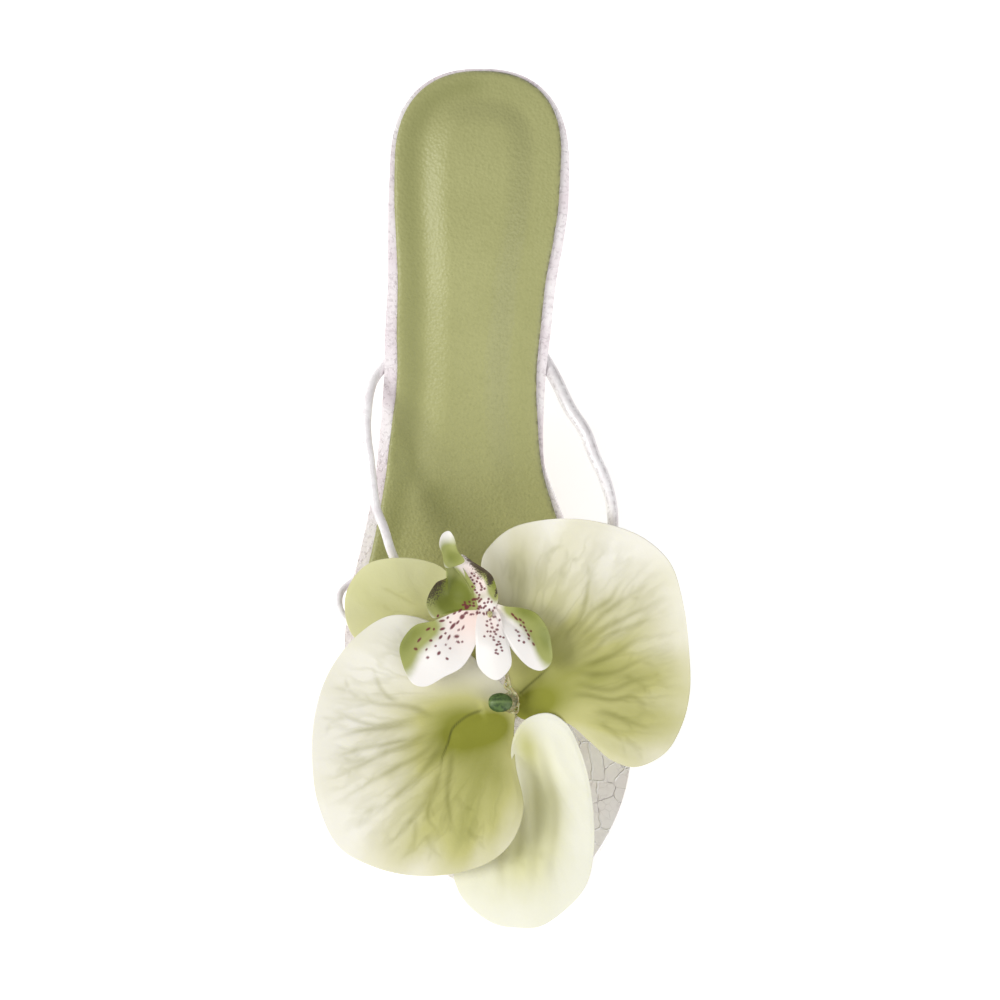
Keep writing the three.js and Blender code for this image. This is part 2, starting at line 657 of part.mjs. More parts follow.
function heelSolid() {
  const bottom = TOP_PIECE_THICKNESS + FIT;
  const seat = profile(SEAT_LENGTH / SOLE_LENGTH).z - FIT;
  const seatBack = HEEL_TIP_SETBACK - SEAT_INSET;
  const seatFront = SEAT_LENGTH - HEEL_TIP_SETBACK;
  const seatHalf = halfWidth(SEAT_ROUND / SOLE_LENGTH, SEAT_INSET);
  const mix = (from, to, share) => from + (to - from) * share;
  const rings = HEEL_FLARE.map(({ level, back, front, side, power }) => heelRing(
    mix(bottom, seat, level),
    mix(HEEL_TIP_LENGTH / 2, seatBack, back),
    mix(HEEL_TIP_LENGTH / 2, seatFront, front),
    mix(HEEL_TIP_WIDTH / 2, seatHalf, side),
    power,
  ));
  const over = HEEL_FLARE[HEEL_FLARE.length - 1].power;
  rings.push(heelRing(seat + HEEL_HEIGHT * 0.3, seatBack, seatFront, seatHalf, over));
  return loft(rings).subtract(overSeat());
}

function topPieceSolid() {
  const power = HEEL_FLARE[0].power;
  const ring = (z, inset) => heelRing(
    z,
    HEEL_TIP_LENGTH / 2 - inset,
    HEEL_TIP_LENGTH / 2 - inset,
    HEEL_TIP_WIDTH / 2 - inset,
    power,
  );
  return loft([
    ring(0, TOP_PIECE_BEVEL),
    ring(TOP_PIECE_BEVEL, 0),
    ring(TOP_PIECE_THICKNESS, 0),
  ]);
}

// Straps: where the toe post's head stands, and the cords that meet there
function postHead() {
  const foot = profile(POST_PLACE);
  return new THREE.Vector3(POST_OFFSET, foot.y, foot.z + BOARD_THICKNESS + POST_HEIGHT);
}

function edge(t, side) {
  return swing(t) + side * halfWidth(t, 0);
}

// A cord's line: tucked under the board, out at its edge, and over to the post's head
function cordLine(side, exit, route, extra) {
  const tucked = onLast(exit - EXIT_SLANT, edge(exit - EXIT_SLANT, side) - side * CORD_TUCK, 0);
  const leaving = onLast(exit, edge(exit, side), 0);
  const outward = leaving.clone().sub(tucked).normalize();
  tucked.addScaledVector(outward, -extra);
  const over = route.map(({ t, beyond, up }) => {
    const board = profile(t);
    const x = edge(t, side) + side * beyond * BALL_WIDTH;
    return new THREE.Vector3(x, board.y, board.z + BOARD_THICKNESS + up * POST_HEIGHT);
  });
  return [tucked, leaving, ...over, postHead()];
}

// All cords, the post and its head as one solid, each grown by a margin
function strapSolid(margin) {
  const head = postHead();
  const foot = profile(POST_PLACE);
  const cords = [
    cord(cordLine(-1, LATERAL_EXIT, LATERAL_ROUTE, margin), LATERAL_CORD + 2 * margin, 26),
    cord(cordLine(1, MEDIAL_EXIT, MEDIAL_ROUTE, margin), MEDIAL_CORD + 2 * margin, 28),
    cord(cordLine(-1, TOE_LATERAL_EXIT, TOE_LATERAL_ROUTE, margin), TOE_CORD + 2 * margin, 16),
    cord(cordLine(1, TOE_MEDIAL_EXIT, TOE_MEDIAL_ROUTE, margin), TOE_CORD + 2 * margin, 14),
  ];
  const length = head.z - foot.z + margin;
  const post = new THREE.CylinderGeometry(POST_CORD / 2 + margin, POST_CORD / 2 + margin, length, 16);
  post.rotateX(Math.PI / 2);
  post.translate(head.x, head.y, head.z - length / 2);
  const thickness = MEDIAL_CORD + 2 * margin;
  const disc = new THREE.CylinderGeometry(POST_HEAD / 2 + margin, POST_HEAD / 2 + margin, thickness, 20);
  disc.rotateX(Math.PI / 2);
  disc.translate(head.x, head.y, head.z);
  return cords.reduce((all, one) => all.add(one), toSolid(post).add(toSolid(disc)));
}

// Flower: a point given by its shares from the middle of the post's head
function flowerPoint({ across, along, lift }) {
  const head = postHead();
  return new THREE.Vector3(
    head.x + across * FLOWER_SPAN,
    head.y - along * FLOWER_SPAN,
    head.z + MEDIAL_CORD / 2 + lift * FLOWER_SPAN,
  );
}

// A thin leaf: rings from its heart to its outline over the top, and back below
function leafSolid(heart, outline, thickness, sides, shares) {
  const rim = new THREE.CatmullRomCurve3(outline, true, 'centripetal').getSpacedPoints(sides).slice(0, sides);
  const ring = (share, drop) => rim.map((point) => {
    const place = heart.clone().lerp(point, share);
    place.z = heart.z + (point.z - heart.z) * share * share - drop;
    return place;
  });
  const top = shares.map((share) => ring(share, 0));
  const bottom = shares.map((share) => ring(share, thickness)).reverse();
  return loft([...top, ...bottom]);
}

function petalSolid({ heart, outline }) {
  const leaf = leafSolid(
    flowerPoint(heart),
    outline.map(flowerPoint),
    PETAL_THICKNESS,
    PETAL_SIDES,
    PETAL_RINGS,
  );
  return leaf.subtract(stalkSolid(FIT));
}

// The boss that the petals are glued round, with the wire stalk that carries the lip
function stalkSolid(margin) {
  const head = postHead();
  const bottom = head.z + MEDIAL_CORD / 2 + FIT - margin;
  const height = STALK_HEIGHT + 2 * margin;
  const boss = new THREE.CylinderGeometry(STALK_WIDTH / 2 + margin, STALK_WIDTH / 2 + margin, height, 24);
  boss.rotateX(Math.PI / 2);
  boss.translate(head.x, head.y, bottom + height / 2);
  const wire = cord(LIP_STALK_ROUTE.map(flowerPoint), LIP_STALK + 2 * margin, 12);
  return toSolid(boss).add(wire);
}

function lipSolid() {
  const heart = flowerPoint(LIP_HEART);
  const place = ({ across, along, lift }) => new THREE.Vector3(
    heart.x + across * LIP_SPAN,
    heart.y - along * LIP_SPAN,
    heart.z + lift * LIP_SPAN,
  );
  const lobes = LIP_LOBES.map((lobe) => leafSolid(
    place(lobe.heart),
    lobe.outline.map(place),
    LIP_THICKNESS,
    LOBE_SIDES,
    LOBE_RINGS,
  ));
  return lobes.reduce((all, one) => all.add(one)).subtract(stalkSolid(FIT));
}

// The bud stands on the boss
function budSolid() {
  const head = postHead();
  const bud = new THREE.SphereGeometry(1, 16, 10);
  bud.rotateX(Math.PI / 2);
  bud.scale(BUD_LENGTH / 2, BUD_WIDTH / 2, BUD_HEIGHT / 2);
  const bottom = head.z + MEDIAL_CORD / 2 + FIT + STALK_HEIGHT + FIT;
  bud.translate(head.x - BUD_LENGTH * 0.35, head.y - BUD_WIDTH * 0.1, bottom + BUD_HEIGHT * 0.32);
  const under = new THREE.BoxGeometry(4 * BUD_LENGTH, 4 * BUD_WIDTH, BUD_HEIGHT);
  under.translate(head.x, head.y, bottom - BUD_HEIGHT / 2);
  return toSolid(bud).subtract(toSolid(under)).subtract(stalkSolid(FIT));
}

const sandal = new THREE.Group();

function addPiece(name, solid, finish) {
  const mesh = new THREE.Mesh(toGeometry(solid), new THREE.MeshStandardMaterial(FINISHES[finish]));
  mesh.name = name;
  sandal.add(mesh);
}

const strapRoom = strapSolid(FIT);
addPiece('outsole', outsoleSolid().subtract(strapRoom), 'soleLeather');
addPiece('insole_board', boardSolid().subtract(strapRoom), 'crackleLeather');
addPiece('sock', sockSolid(), 'greenLeather');
addPiece('heel', heelSolid(), 'crackleLeather');
addPiece('top_piece', topPieceSolid(), 'rubber');
addPiece('upper_straps', strapSolid(0), 'strapLeather');
addPiece('flower_stalk', stalkSolid(0), 'glue');
addPiece('sepal_front', petalSolid(SEPAL_FRONT), 'sepal');
addPiece('sepal_lateral', petalSolid(SEPAL_LATERAL), 'sepal');
addPiece('sepal_medial', petalSolid(SEPAL_MEDIAL), 'sepal');
addPiece('petal_lateral', petalSolid(PETAL_LATERAL), 'petal');
addPiece('petal_medial', petalSolid(PETAL_MEDIAL), 'petal');
addPiece('lip', lipSolid(), 'lip');
addPiece('bud', budSolid(), 'bud');

export default sandal;
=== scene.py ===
"""Looks of a heeled toe post sandal for the right foot, with an orchid on its toe post.

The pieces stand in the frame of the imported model: metres, +Z up, the toe towards -Y, the big toe's
side towards +X and the origin on the floor under the heel's tip. The sole's tables are in millimetres
or in shares of the last, and the flower's are in thousandths of its span. They become metres only
when a mesh is placed.
"""

import logging
import math
import random
from dataclasses import dataclass
from enum import Enum
from typing import Any, Callable, Sequence

import bpy
import numpy as np
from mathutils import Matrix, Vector

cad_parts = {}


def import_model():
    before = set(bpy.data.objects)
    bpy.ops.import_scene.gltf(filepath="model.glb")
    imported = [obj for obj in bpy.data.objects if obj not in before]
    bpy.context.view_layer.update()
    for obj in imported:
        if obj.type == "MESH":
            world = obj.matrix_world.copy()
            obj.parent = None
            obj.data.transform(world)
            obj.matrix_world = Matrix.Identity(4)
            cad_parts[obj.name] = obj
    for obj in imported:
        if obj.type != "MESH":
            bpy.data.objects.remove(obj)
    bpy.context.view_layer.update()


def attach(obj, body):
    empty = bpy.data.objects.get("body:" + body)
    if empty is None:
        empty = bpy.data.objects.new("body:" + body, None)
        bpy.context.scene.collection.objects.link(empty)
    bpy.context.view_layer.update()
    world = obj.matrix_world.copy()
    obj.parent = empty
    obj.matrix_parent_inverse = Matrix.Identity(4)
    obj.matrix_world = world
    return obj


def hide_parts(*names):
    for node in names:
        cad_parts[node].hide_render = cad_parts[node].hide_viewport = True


MM = 0.001
SEED = 11
Row = tuple[float, ...]
Line = Sequence[tuple[float, float]]
Colour = tuple[float, float, float, float]


def tone(red: float, green: float, blue: float) -> Colour:
    """Turn a screen colour into the colour that the shader mixes.

    Args:
        red: Red from 0 to 255.
        green: Green from 0 to 255.
        blue: Blue from 0 to 255.

    Returns:
        The linear colour with full alpha.
    """
    parts = []
    for part in (red, green, blue):
        share = part / 255
        parts.append(share / 12.92 if share <= 0.04045 else ((share + 0.055) / 1.055) ** 2.4)
    return (parts[0], parts[1], parts[2], 1.0)


def ease(low: float, high: float, value: np.ndarray) -> np.ndarray:
    """Rise softly from 0 at low to 1 at high.

    Args:
        low: Value that gives 0.
        high: Value that gives 1.
        value: Values to read.

    Returns:
        The eased shares.
    """
    share = np.clip((value - low) / (high - low), 0, 1)
    return share * share * (3 - 2 * share)


def bell(distance: np.ndarray, width: float) -> np.ndarray:
    """Fall softly from 1 at no distance, to about a third at the width."""
    return np.exp(-((distance / width) ** 2))


def read_rows(rows: Sequence[Row], column: int, t: np.ndarray) -> np.ndarray:
    """Read a table by a cubic that never overshoots its rows.

    Args:
        rows: Rows whose first number is the place.
        column: Column to read.
        t: Places to read at.

    Returns:
        The column's value at each place.
    """
    place = np.array([row[0] for row in rows])
    value = np.array([row[column] for row in rows])
    step = np.diff(place)
    between = np.diff(value) / step
    slope = np.zeros(len(rows))
    before, after = between[:-1], between[1:]
    same = before * after > 0
    slope[1:-1] = np.where(same, 2 * before * after / np.where(same, before + after, 1), 0)
    t = np.clip(t, place[0], place[-1])
    i = np.clip(np.searchsorted(place, t, side="right") - 1, 0, len(step) - 1)
    u = (t - place[i]) / step[i]
    rest = 1 - u
    ends = value[i] * (1 + 2 * u) * rest**2 + value[i + 1] * u**2 * (3 - 2 * u)
    return ends + step[i] * u * rest * (slope[i] * rest - slope[i + 1] * u)


def read_line(place: np.ndarray, steps: np.ndarray, points: np.ndarray) -> np.ndarray:
    """Read a line of points by straight steps.

    Args:
        place: Places to read at.
        steps: The place of each of the line's points.
        points: The line's points, one a row.

    Returns:
        One point for each place.
    """
    return np.stack([np.interp(place, steps, points[:, k]) for k in range(points.shape[1])], axis=1)


def smooth_line(points: np.ndarray, count: int, closed: bool = False) -> np.ndarray:
    """Run a centripetal curve through points and step along it evenly.

    Args:
        points: Points to pass, one a row.
        count: Number of points to give back.
        closed: Whether the line returns to its start.

    Returns:
        The evenly spaced points, without a repeat of the first on a closed line.
    """
    points = np.asarray(points, float)
    if closed:
        padded = np.vstack([points[-1], points, points[0], points[1]])
    else:
        first, last = 2 * points[0] - points[1], 2 * points[-1] - points[-2]
        padded = np.vstack([first, points, last])
    u = np.linspace(0, 1, 40, endpoint=False)[:, None]
    pieces = []
    for i in range(len(padded) - 3):
        a, b, c, d = padded[i : i + 4]
        ab, bc, cd = (max(math.sqrt(float(np.linalg.norm(step))), 1e-6) for step in (b - a, c - b, d - c))
        leave = ((b - a) / ab - (c - a) / (ab + bc) + (c - b) / bc) * bc
        reach = ((c - b) / bc - (d - b) / (bc + cd) + (d - c) / cd) * bc
        square = 3 * (c - b) - 2 * leave - reach
        cube = 2 * (b - c) + leave + reach
        pieces.append(b + leave * u + square * u**2 + cube * u**3)
    pieces.append(padded[1:2] if closed else points[-1:])
    dense = np.vstack(pieces)
    run = np.concatenate([[0], np.cumsum(np.linalg.norm(np.diff(dense, axis=0), axis=1))])
    even = np.linspace(0, run[-1], count, endpoint=not closed)
    return read_line(even, run, dense)


def line_distance(spots: np.ndarray, line: np.ndarray) -> tuple[np.ndarray, np.ndarray]:
    """Measure how far spots lie from a line in plan.

    Args:
        spots: Points in plan, one a row.
        line: The line's points in plan, one a row.

    Returns:
        The distance of each spot and the share along the line where it is nearest.
    """
    best = np.full(len(spots), 1e9)
    where = np.zeros(len(spots))
    spans = len(line) - 1
    for i in range(spans):
        run = line[i + 1] - line[i]
        share = np.clip((spots - line[i]) @ run / max(float(run @ run), 1e-12), 0, 1)
        gap = np.linalg.norm(spots - line[i] - share[:, None] * run, axis=1)
        nearer = gap < best
        best[nearer] = gap[nearer]
        where[nearer] = (i + share[nearer]) / spans
    return best, where


# Shader building


class Value:
    """A shader socket that can be written in sums."""

    def __init__(self, board: "Board", socket: bpy.types.NodeSocket) -> None:
        """Keep the board that the socket is on."""
        self.board = board
        self.socket = socket

    def _sum(self, operation: str, first: Any, second: Any) -> "Value":
        """Add one Math node.

        Args:
            operation: The node's operation.
            first: First value or number.
            second: Second value or number.

        Returns:
            The node's result.
        """
        return self.board.add("ShaderNodeMath", {"operation": operation}, {0: first, 1: second})

    def __add__(self, other: Any) -> "Value":
        """Add another value."""
        return self._sum("ADD", self, other)

    def __radd__(self, other: Any) -> "Value":
        """Add to a number."""
        return self._sum("ADD", other, self)

    def __sub__(self, other: Any) -> "Value":
        """Take another value away."""
        return self._sum("SUBTRACT", self, other)

    def __rsub__(self, other: Any) -> "Value":
        """Take this value from a number."""
        return self._sum("SUBTRACT", other, self)

    def __mul__(self, other: Any) -> "Value":
        """Multiply by another value."""
        return self._sum("MULTIPLY", self, other)

    def __rmul__(self, other: Any) -> "Value":
        """Multiply a number."""
        return self._sum("MULTIPLY", other, self)

    def __pow__(self, other: Any) -> "Value":
        """Raise to a power."""
        return self._sum("POWER", self, other)

    def between(self, low: float, high: float) -> "Value":
        """Rise softly from 0 at low to 1 at high.

        Args:
            low: Value that gives 0.
            high: Value that gives 1.

        Returns:
            The eased share.
        """
        names = {"Value": self, "From Min": low, "From Max": high, "To Min": 0.0, "To Max": 1.0}
        return self.board.add("ShaderNodeMapRange", {"interpolation_type": "SMOOTHSTEP"}, names)


class Board:
    """The nodes of one material."""

    def __init__(self, name: str) -> None:
        """Make a material that holds only a Principled shader and its output."""
        self.material = bpy.data.materials.new(name)
        self.material.use_nodes = True
        self.tree = self.material.node_tree
        self.tree.nodes.clear()
        self.shader = self.tree.nodes.new("ShaderNodeBsdfPrincipled")
        output = self.tree.nodes.new("ShaderNodeOutputMaterial")
        self.tree.links.new(self.shader.outputs["BSDF"], output.inputs["Surface"])

    def add(self, kind: str, settings: dict[str, Any] | None = None, inputs: dict[Any, Any] | None = None,
            output: int | str = 0) -> Value:
        """Add a node, set it and feed it.

        Args:
            kind: The node's type.
            settings: Properties to set first; "stops" fills a colour ramp.
            inputs: Values or links by socket name or number.
            output: The output to give back.

        Returns:
            The chosen output.
        """
        node = self.tree.nodes.new(kind)
        for key, setting in (settings or {}).items():
            if key == "stops":
                self._fill_ramp(node.color_ramp, setting)
            else:
                setattr(node, key, setting)
        for key, value in (inputs or {}).items():
            if isinstance(value, Value):
                self.tree.links.new(value.socket, node.inputs[key])
            else:
                node.inputs[key].default_value = value
        return Value(self, node.outputs[output])

    @staticmethod
    def _fill_ramp(ramp: bpy.types.ColorRamp, stops: Sequence[tuple[float, Colour]]) -> None:
        """Give a ramp its stops.

        Args:
            ramp: The ramp.
            stops: Positions and colours, in order.
        """
        while len(ramp.elements) < len(stops):
            ramp.elements.new(0.5)
        for element, (position, colour) in zip(ramp.elements, stops):
            element.position = position
            element.color = colour

    def attribute(self, name: str) -> Value:
        """Read a number that the mesh carries at each point."""
        return self.add("ShaderNodeAttribute", {"attribute_name": name}, None, "Fac")

    def place(self) -> Value:
        """Read the place on the piece, in metres."""
        return self.add("ShaderNodeTexCoord", None, None, "Object")

    def noise(self, where: Value, scale: float, detail: float = 3, roughness: float = 0.55) -> Value:
        """Give soft clouds at a scale per metre.

        Args:
            where: The place to read.
            scale: Clouds per metre.
            detail: Octaves.
            roughness: Share of the finer octaves.

        Returns:
            The cloud's value from 0 to 1.
        """
        sizes = {"Vector": where, "Scale": scale, "Detail": detail, "Roughness": roughness}
        return self.add("ShaderNodeTexNoise", None, sizes)

    def cells(self, where: Value, scale: float, feature: str = "DISTANCE_TO_EDGE",
              output: int | str = 0) -> Value:
        """Give a pattern of cells at a scale per metre.

        Args:
            where: The place to read.
            scale: Cells per metre.
            feature: What is measured in a cell.
            output: The output to give back.

        Returns:
            The chosen output.
        """
        sizes = {"Vector": where, "Scale": scale}
        return self.add("ShaderNodeTexVoronoi", {"feature": feature}, sizes, output)

    def mix(self, share: Any, first: Any, second: Any, blend: str = "MIX") -> Value:
        """Mix two colours.

        Args:
            share: Share of the second.
            first: First colour.
            second: Second colour.
            blend: How they mix.

        Returns:
            The mixed colour.
        """
        settings = {"data_type": "RGBA", "blend_type": blend}
        return self.add("ShaderNodeMix", settings, {0: share, 6: first, 7: second}, 2)

    def bump(self, height: Value, distance: float, strength: float = 1.0, under: Value | None = None) -> Value:
        """Raise the surface by a height in a bump.

        Args:
            height: Height from 0 to 1.
            distance: Height in metres at 1.
            strength: How strongly it shows.
            under: A bump that this one lies on.

        Returns:
            The bumped normal.
        """
        inputs: dict[Any, Any] = {"Height": height, "Distance": distance, "Strength": strength}
        if under is not None:
            inputs["Normal"] = under
        return self.add("ShaderNodeBump", None, inputs)

    def size(self, value: Value) -> Value:
        """Drop a value's sign."""
        return self.add("ShaderNodeMath", {"operation": "ABSOLUTE"}, {0: value})

    def finish(self, **sockets: Any) -> bpy.types.Material:
        """Feed the shader.

        Args:
            **sockets: The shader's sockets, with _ for a space.

        Returns:
            The material.
        """
        for key, value in sockets.items():
            socket = self.shader.inputs[key.replace("_", " ")]
            if isinstance(value, Value):
                self.tree.links.new(value.socket, socket)
            else:
                socket.default_value = value
        return self.material


# Finishes


@dataclass(frozen=True)
class CrackleLeather:
    """Pearly white leather broken into small raised cells.

    The board says where it is calm, behind the ball, and where it is whitened with painted light, in front of
    it, lifting the toe out of the flower's shadow. The heel says neither, and keeps the plain crackle.
    """

    name: str = "crackle_leather"
    pearl: Colour = tone(250, 245, 246)
    lilac: Colour = tone(232, 218, 224)
    white: Colour = tone(255, 253, 253)
    groove: Colour = tone(176, 160, 166)
    cell: float = 0.0068

    def build(self) -> bpy.types.Material:
        """Make the material."""
        board = Board(self.name)
        spot = board.place()
        drift = board.noise(spot, 240, 3)
        wander = board.add("ShaderNodeTexNoise", None, {"Vector": spot, "Scale": 160.0}, 1)
        warped = board.mix(0.003, spot, wander, "ADD")
        edges = board.cells(warped, 1 / self.cell)
        shade = board.cells(warped, 1 / self.cell, "F1", "Color")
        shade = board.add("ShaderNodeSeparateColor", None, {0: shade})
        chips = board.cells(warped, 3.1 / self.cell)
        here = board.noise(spot, 130, 2)
        calm = 1 - board.attribute("calm") * 0.75
        white_lines = (1 - edges.between(0.0, 0.045)) * here.between(0.40, 0.54) * calm
        dark_lines = (1 - edges.between(0.0, 0.03)) * (1 - here.between(0.36, 0.50)) * calm
        chip_lines = (1 - chips.between(0.0, 0.07)) * board.noise(spot, 90, 2).between(0.46, 0.6)
        clouds = board.noise(spot, 75, 4).between(0.34, 0.66)
        base = board.mix(clouds * 0.8, self.pearl, self.lilac)
        base = board.mix(shade * 0.2, base, self.lilac)
        # Painted light: the toe in front of the ball is whitened, lifting it out of the flower's shadow
        base = board.mix(board.attribute("painted_light") * 0.6, base, self.white)
        specks = board.noise(spot, 900, 3).between(0.5, 0.68) * board.attribute("calm")
        base = board.mix(specks * 0.28, base, self.groove)
        base = board.mix(dark_lines * 0.45, base, self.groove)
        base = board.mix(chip_lines * calm * 0.2, base, self.groove)
        base = board.mix(white_lines * 0.9, base, self.white)
        low = board.bump(white_lines - dark_lines + specks * 0.4, 0.00035, 0.8)
        mid = board.bump(chip_lines, 0.00012, 0.5, low)
        normal = board.bump(drift, 0.00022, 0.8, mid)
        return board.finish(
            Base_Color=base, Roughness=0.30 + dark_lines * 0.2 + drift * 0.14, Normal=normal,
            Metallic=0.06, Coat_Weight=0.3, Coat_Roughness=0.2, Specular_IOR_Level=0.55,
        )


@dataclass(frozen=True)
class StrapLeather:
    """Smooth pearly leather drawn round a cord, with faint cross creases and lines of painted shade along it.
    """

    name: str = "strap_leather"
    pearl: Colour = tone(244, 241, 242)
    shade: Colour = tone(218, 210, 213)
    painted_crease_shade: Colour = tone(150, 140, 140)

    def build(self) -> bpy.types.Material:
        """Make the material."""
        board = Board(self.name)
        spot = board.place()
        clouds = board.noise(spot, 240, 4)
        cracks = 1 - board.cells(spot, 420).between(0.0, 0.06)
        base = board.mix(clouds.between(0.35, 0.7) * 0.6, self.pearl, self.shade)
        base = board.mix(cracks * 0.22, base, self.shade)
        # Painted shade: grey lines along the cord, standing in for the shade in its creases
        painted_crease_shade = board.attribute("painted_crease_shade") * board.noise(spot, 500, 3, 0.7).between(0.42, 0.6)
        base = board.mix(painted_crease_shade * 0.5, base, self.painted_crease_shade)
        normal = board.bump(1 - cracks, 0.00007, 0.7, board.bump(clouds, 0.0001, 0.6))
        return board.finish(
            Base_Color=base, Roughness=0.32 + clouds * 0.16, Normal=normal,
            Metallic=0.06, Coat_Weight=0.2, Coat_Roughness=0.3,
        )


@dataclass(frozen=True)
class SoleLeather:
    """Thin beige sole leather with a close grain."""

    name: str = "sole_leather"
    light: Colour = tone(216, 200, 174)
    dark: Colour = tone(188, 168, 138)

    def build(self) -> bpy.types.Material:
        """Make the material."""
        board = Board(self.name)
        spot = board.place()
        clouds = board.noise(spot, 45, 4)
        grain = board.noise(spot, 1500, 3, 0.7)
        base = board.mix(clouds.between(0.3, 0.7), self.light, self.dark)
        base = board.mix(grain * 0.25, base, self.dark)
        normal = board.bump(grain, 0.00006, 0.6)
        return board.finish(Base_Color=base, Roughness=0.55 + grain * 0.2, Normal=normal)


@dataclass(frozen=True)
class GreenLeather:
    """Olive green lining leather over a foam pad: satin, with fine pores, painted shade along its rim and in
    shadow bands, and a dark cut edge with painted shadow.
    """

    name: str = "green_leather"
    mid: Colour = tone(162, 162, 106)
    light: Colour = tone(173, 173, 117)
    dark: Colour = tone(130, 132, 74)
    cut_edge_and_shadow: Colour = tone(84, 80, 58)

    def build(self) -> bpy.types.Material:
        """Make the material."""
        board = Board(self.name)
        spot = board.place()
        clouds = board.noise(spot, 38, 4)
        pores = board.cells(spot, 1150, "F1")
        grain = board.noise(spot, 900, 4, 0.65)
        base = board.mix(clouds.between(0.35, 0.7) * 0.5, self.mid, self.light)
        base = board.mix(grain.between(0.45, 0.8) * 0.3, base, self.dark)
        # Painted shade: darker in the rim's groove, mostly on the small toes' side, and in the painted shadows
        # of the cord and the flower
        base = board.mix(board.attribute("painted_shade") * 0.55, base, self.dark)
        # The cut edge: a dark line along the rim, partly the raw edge and partly painted shadow
        cut_and_shadow = board.attribute("cut_edge_and_shadow") * board.noise(spot, 420, 3, 0.7).between(0.4, 0.6)
        base = board.mix(cut_and_shadow * 0.75, base, self.cut_edge_and_shadow)
        low = board.bump(clouds, 0.0003, 0.5)
        mid = board.bump(grain, 0.00009, 0.7, low)
        normal = board.bump(pores, 0.00016, 0.8, mid)
        return board.finish(
            Base_Color=base, Roughness=0.36 + grain * 0.2, Normal=normal,
            Specular_IOR_Level=0.5, Coat_Weight=0.1, Coat_Roughness=0.3,
        )


@dataclass(frozen=True)
class HeelRubber:
    """Matte rubber of the heel's top piece."""

    name: str = "heel_rubber"
    light: Colour = tone(208, 198, 190)
    dark: Colour = tone(184, 172, 164)

    def build(self) -> bpy.types.Material:
        """Make the material."""
        board = Board(self.name)
        spot = board.place()
        grain = board.noise(spot, 1300, 3)
        base = board.mix(grain, self.light, self.dark)
        normal = board.bump(grain, 0.00005, 0.6)
        return board.finish(Base_Color=base, Roughness=0.6 + grain * 0.15, Normal=normal)


@dataclass(frozen=True)
class PetalCloth:
    """Soft pressed petal: pale at its rim, olive towards the flower's middle, with grey green veins, painted
    light and shade along its folds and painted shade in its creases.
    """

    name: str
    rim: Colour
    wash: Colour
    leaf: Colour
    olive: Colour
    vein: Colour
    vein_share: float = 0.42
    net_share: float = 0.4
    fold_shading_share: float = 0.55

    def build(self) -> bpy.types.Material:
        """Make the material."""
        board = Board(self.name)
        spot = board.place()
        stops = [(0.0, self.rim), (0.30, self.wash), (0.62, self.leaf), (1.0, self.olive)]
        clouds = board.noise(spot, 110, 4)
        wobble = board.noise(spot, 260, 3) - 0.5
        across = board.attribute("turn") * 40 + wobble * 0.3
        turned = board.add("ShaderNodeCombineXYZ", None, {0: across, 1: board.attribute("away") * 5})
        fibres = board.noise(turned, 1.15, 2, 0.5)
        folds_with_painted_shading = board.noise(turned, 0.62, 1)
        inner = 1 - board.attribute("rim").between(0.72, 0.97)
        net = (1 - board.size(fibres - 0.5).between(0.0, 0.1)) * self.net_share
        net = net * board.attribute("away").between(0.16, 0.3) * inner
        green = board.attribute("green") + (clouds - 0.5) * 0.10
        # Painted light and shade: paler and darker bands along the folds
        green = green + (folds_with_painted_shading - 0.5) * self.fold_shading_share * board.attribute("away").between(0.1, 0.3)
        base = board.add("ShaderNodeValToRGB", {"stops": stops}, {0: green})
        veins = board.attribute("vein") + net
        base = board.mix(veins * self.vein_share, base, self.vein, "MULTIPLY")
        # Painted shade: the creases darken towards olive
        base = board.mix(board.attribute("dark"), base, self.olive, "MULTIPLY")
        fibre = board.noise(spot, 1600, 3, 0.6)
        base = board.mix(fibre * 0.06, base, self.leaf)
        rays = (folds_with_painted_shading - 0.5) * board.attribute("away").between(0.12, 0.32)
        low = board.bump(rays, 0.0022, 0.5, board.bump(net, 0.0002, 0.5))
        normal = board.bump(fibre, 0.00003, 0.5, board.bump(clouds, 0.0002, 0.35, low))
        return board.finish(
            Base_Color=base, Roughness=0.52 + fibre * 0.14, Normal=normal,
            Specular_IOR_Level=0.35, Subsurface_Weight=0.12, Subsurface_Scale=0.001,
            Subsurface_Radius=(1.0, 1.0, 0.5),
        )


@dataclass(frozen=True)
class LipCloth:
    """Pressed lip: white satin with green bands, a blush and burgundy spots."""

    name: str = "lip_cloth"
    white: Colour = tone(242, 238, 234)
    blush: Colour = tone(246, 218, 208)
    green: Colour = tone(158, 163, 92)
    deep: Colour = tone(116, 124, 38)
    burgundy: Colour = tone(104, 18, 36)
    burnt: Colour = tone(58, 46, 26)

    def build(self) -> bpy.types.Material:
        """Make the material."""
        board = Board(self.name)
        spot = board.place()
        clouds = board.noise(spot, 300, 4)
        mottle = board.noise(spot, 2600, 4, 0.7)
        base = board.mix(board.attribute("blush") * 0.8, self.white, self.blush)
        band = board.attribute("green") + (clouds - 0.5) * 0.16
        base = board.mix(band.between(0.2, 0.72), base, self.green)
        base = board.mix(band.between(0.8, 1.5), base, self.deep)
        scorch = board.attribute("burnt") * 1.25 - mottle.between(0.38, 0.62) * 0.55
        base = board.mix(scorch.between(0.1, 0.7), base, self.burnt)
        base = board.mix(board.attribute("spot") * 0.94, base, self.burgundy)
        normal = board.bump(mottle, 0.00003, 0.5, board.bump(clouds, 0.00012, 0.4))
        return board.finish(
            Base_Color=base, Roughness=0.42 + mottle * 0.16, Normal=normal,
            Specular_IOR_Level=0.4, Subsurface_Weight=0.1, Subsurface_Scale=0.0008,
            Subsurface_Radius=(1.0, 0.9, 0.8), Sheen_Weight=0.05,
        )


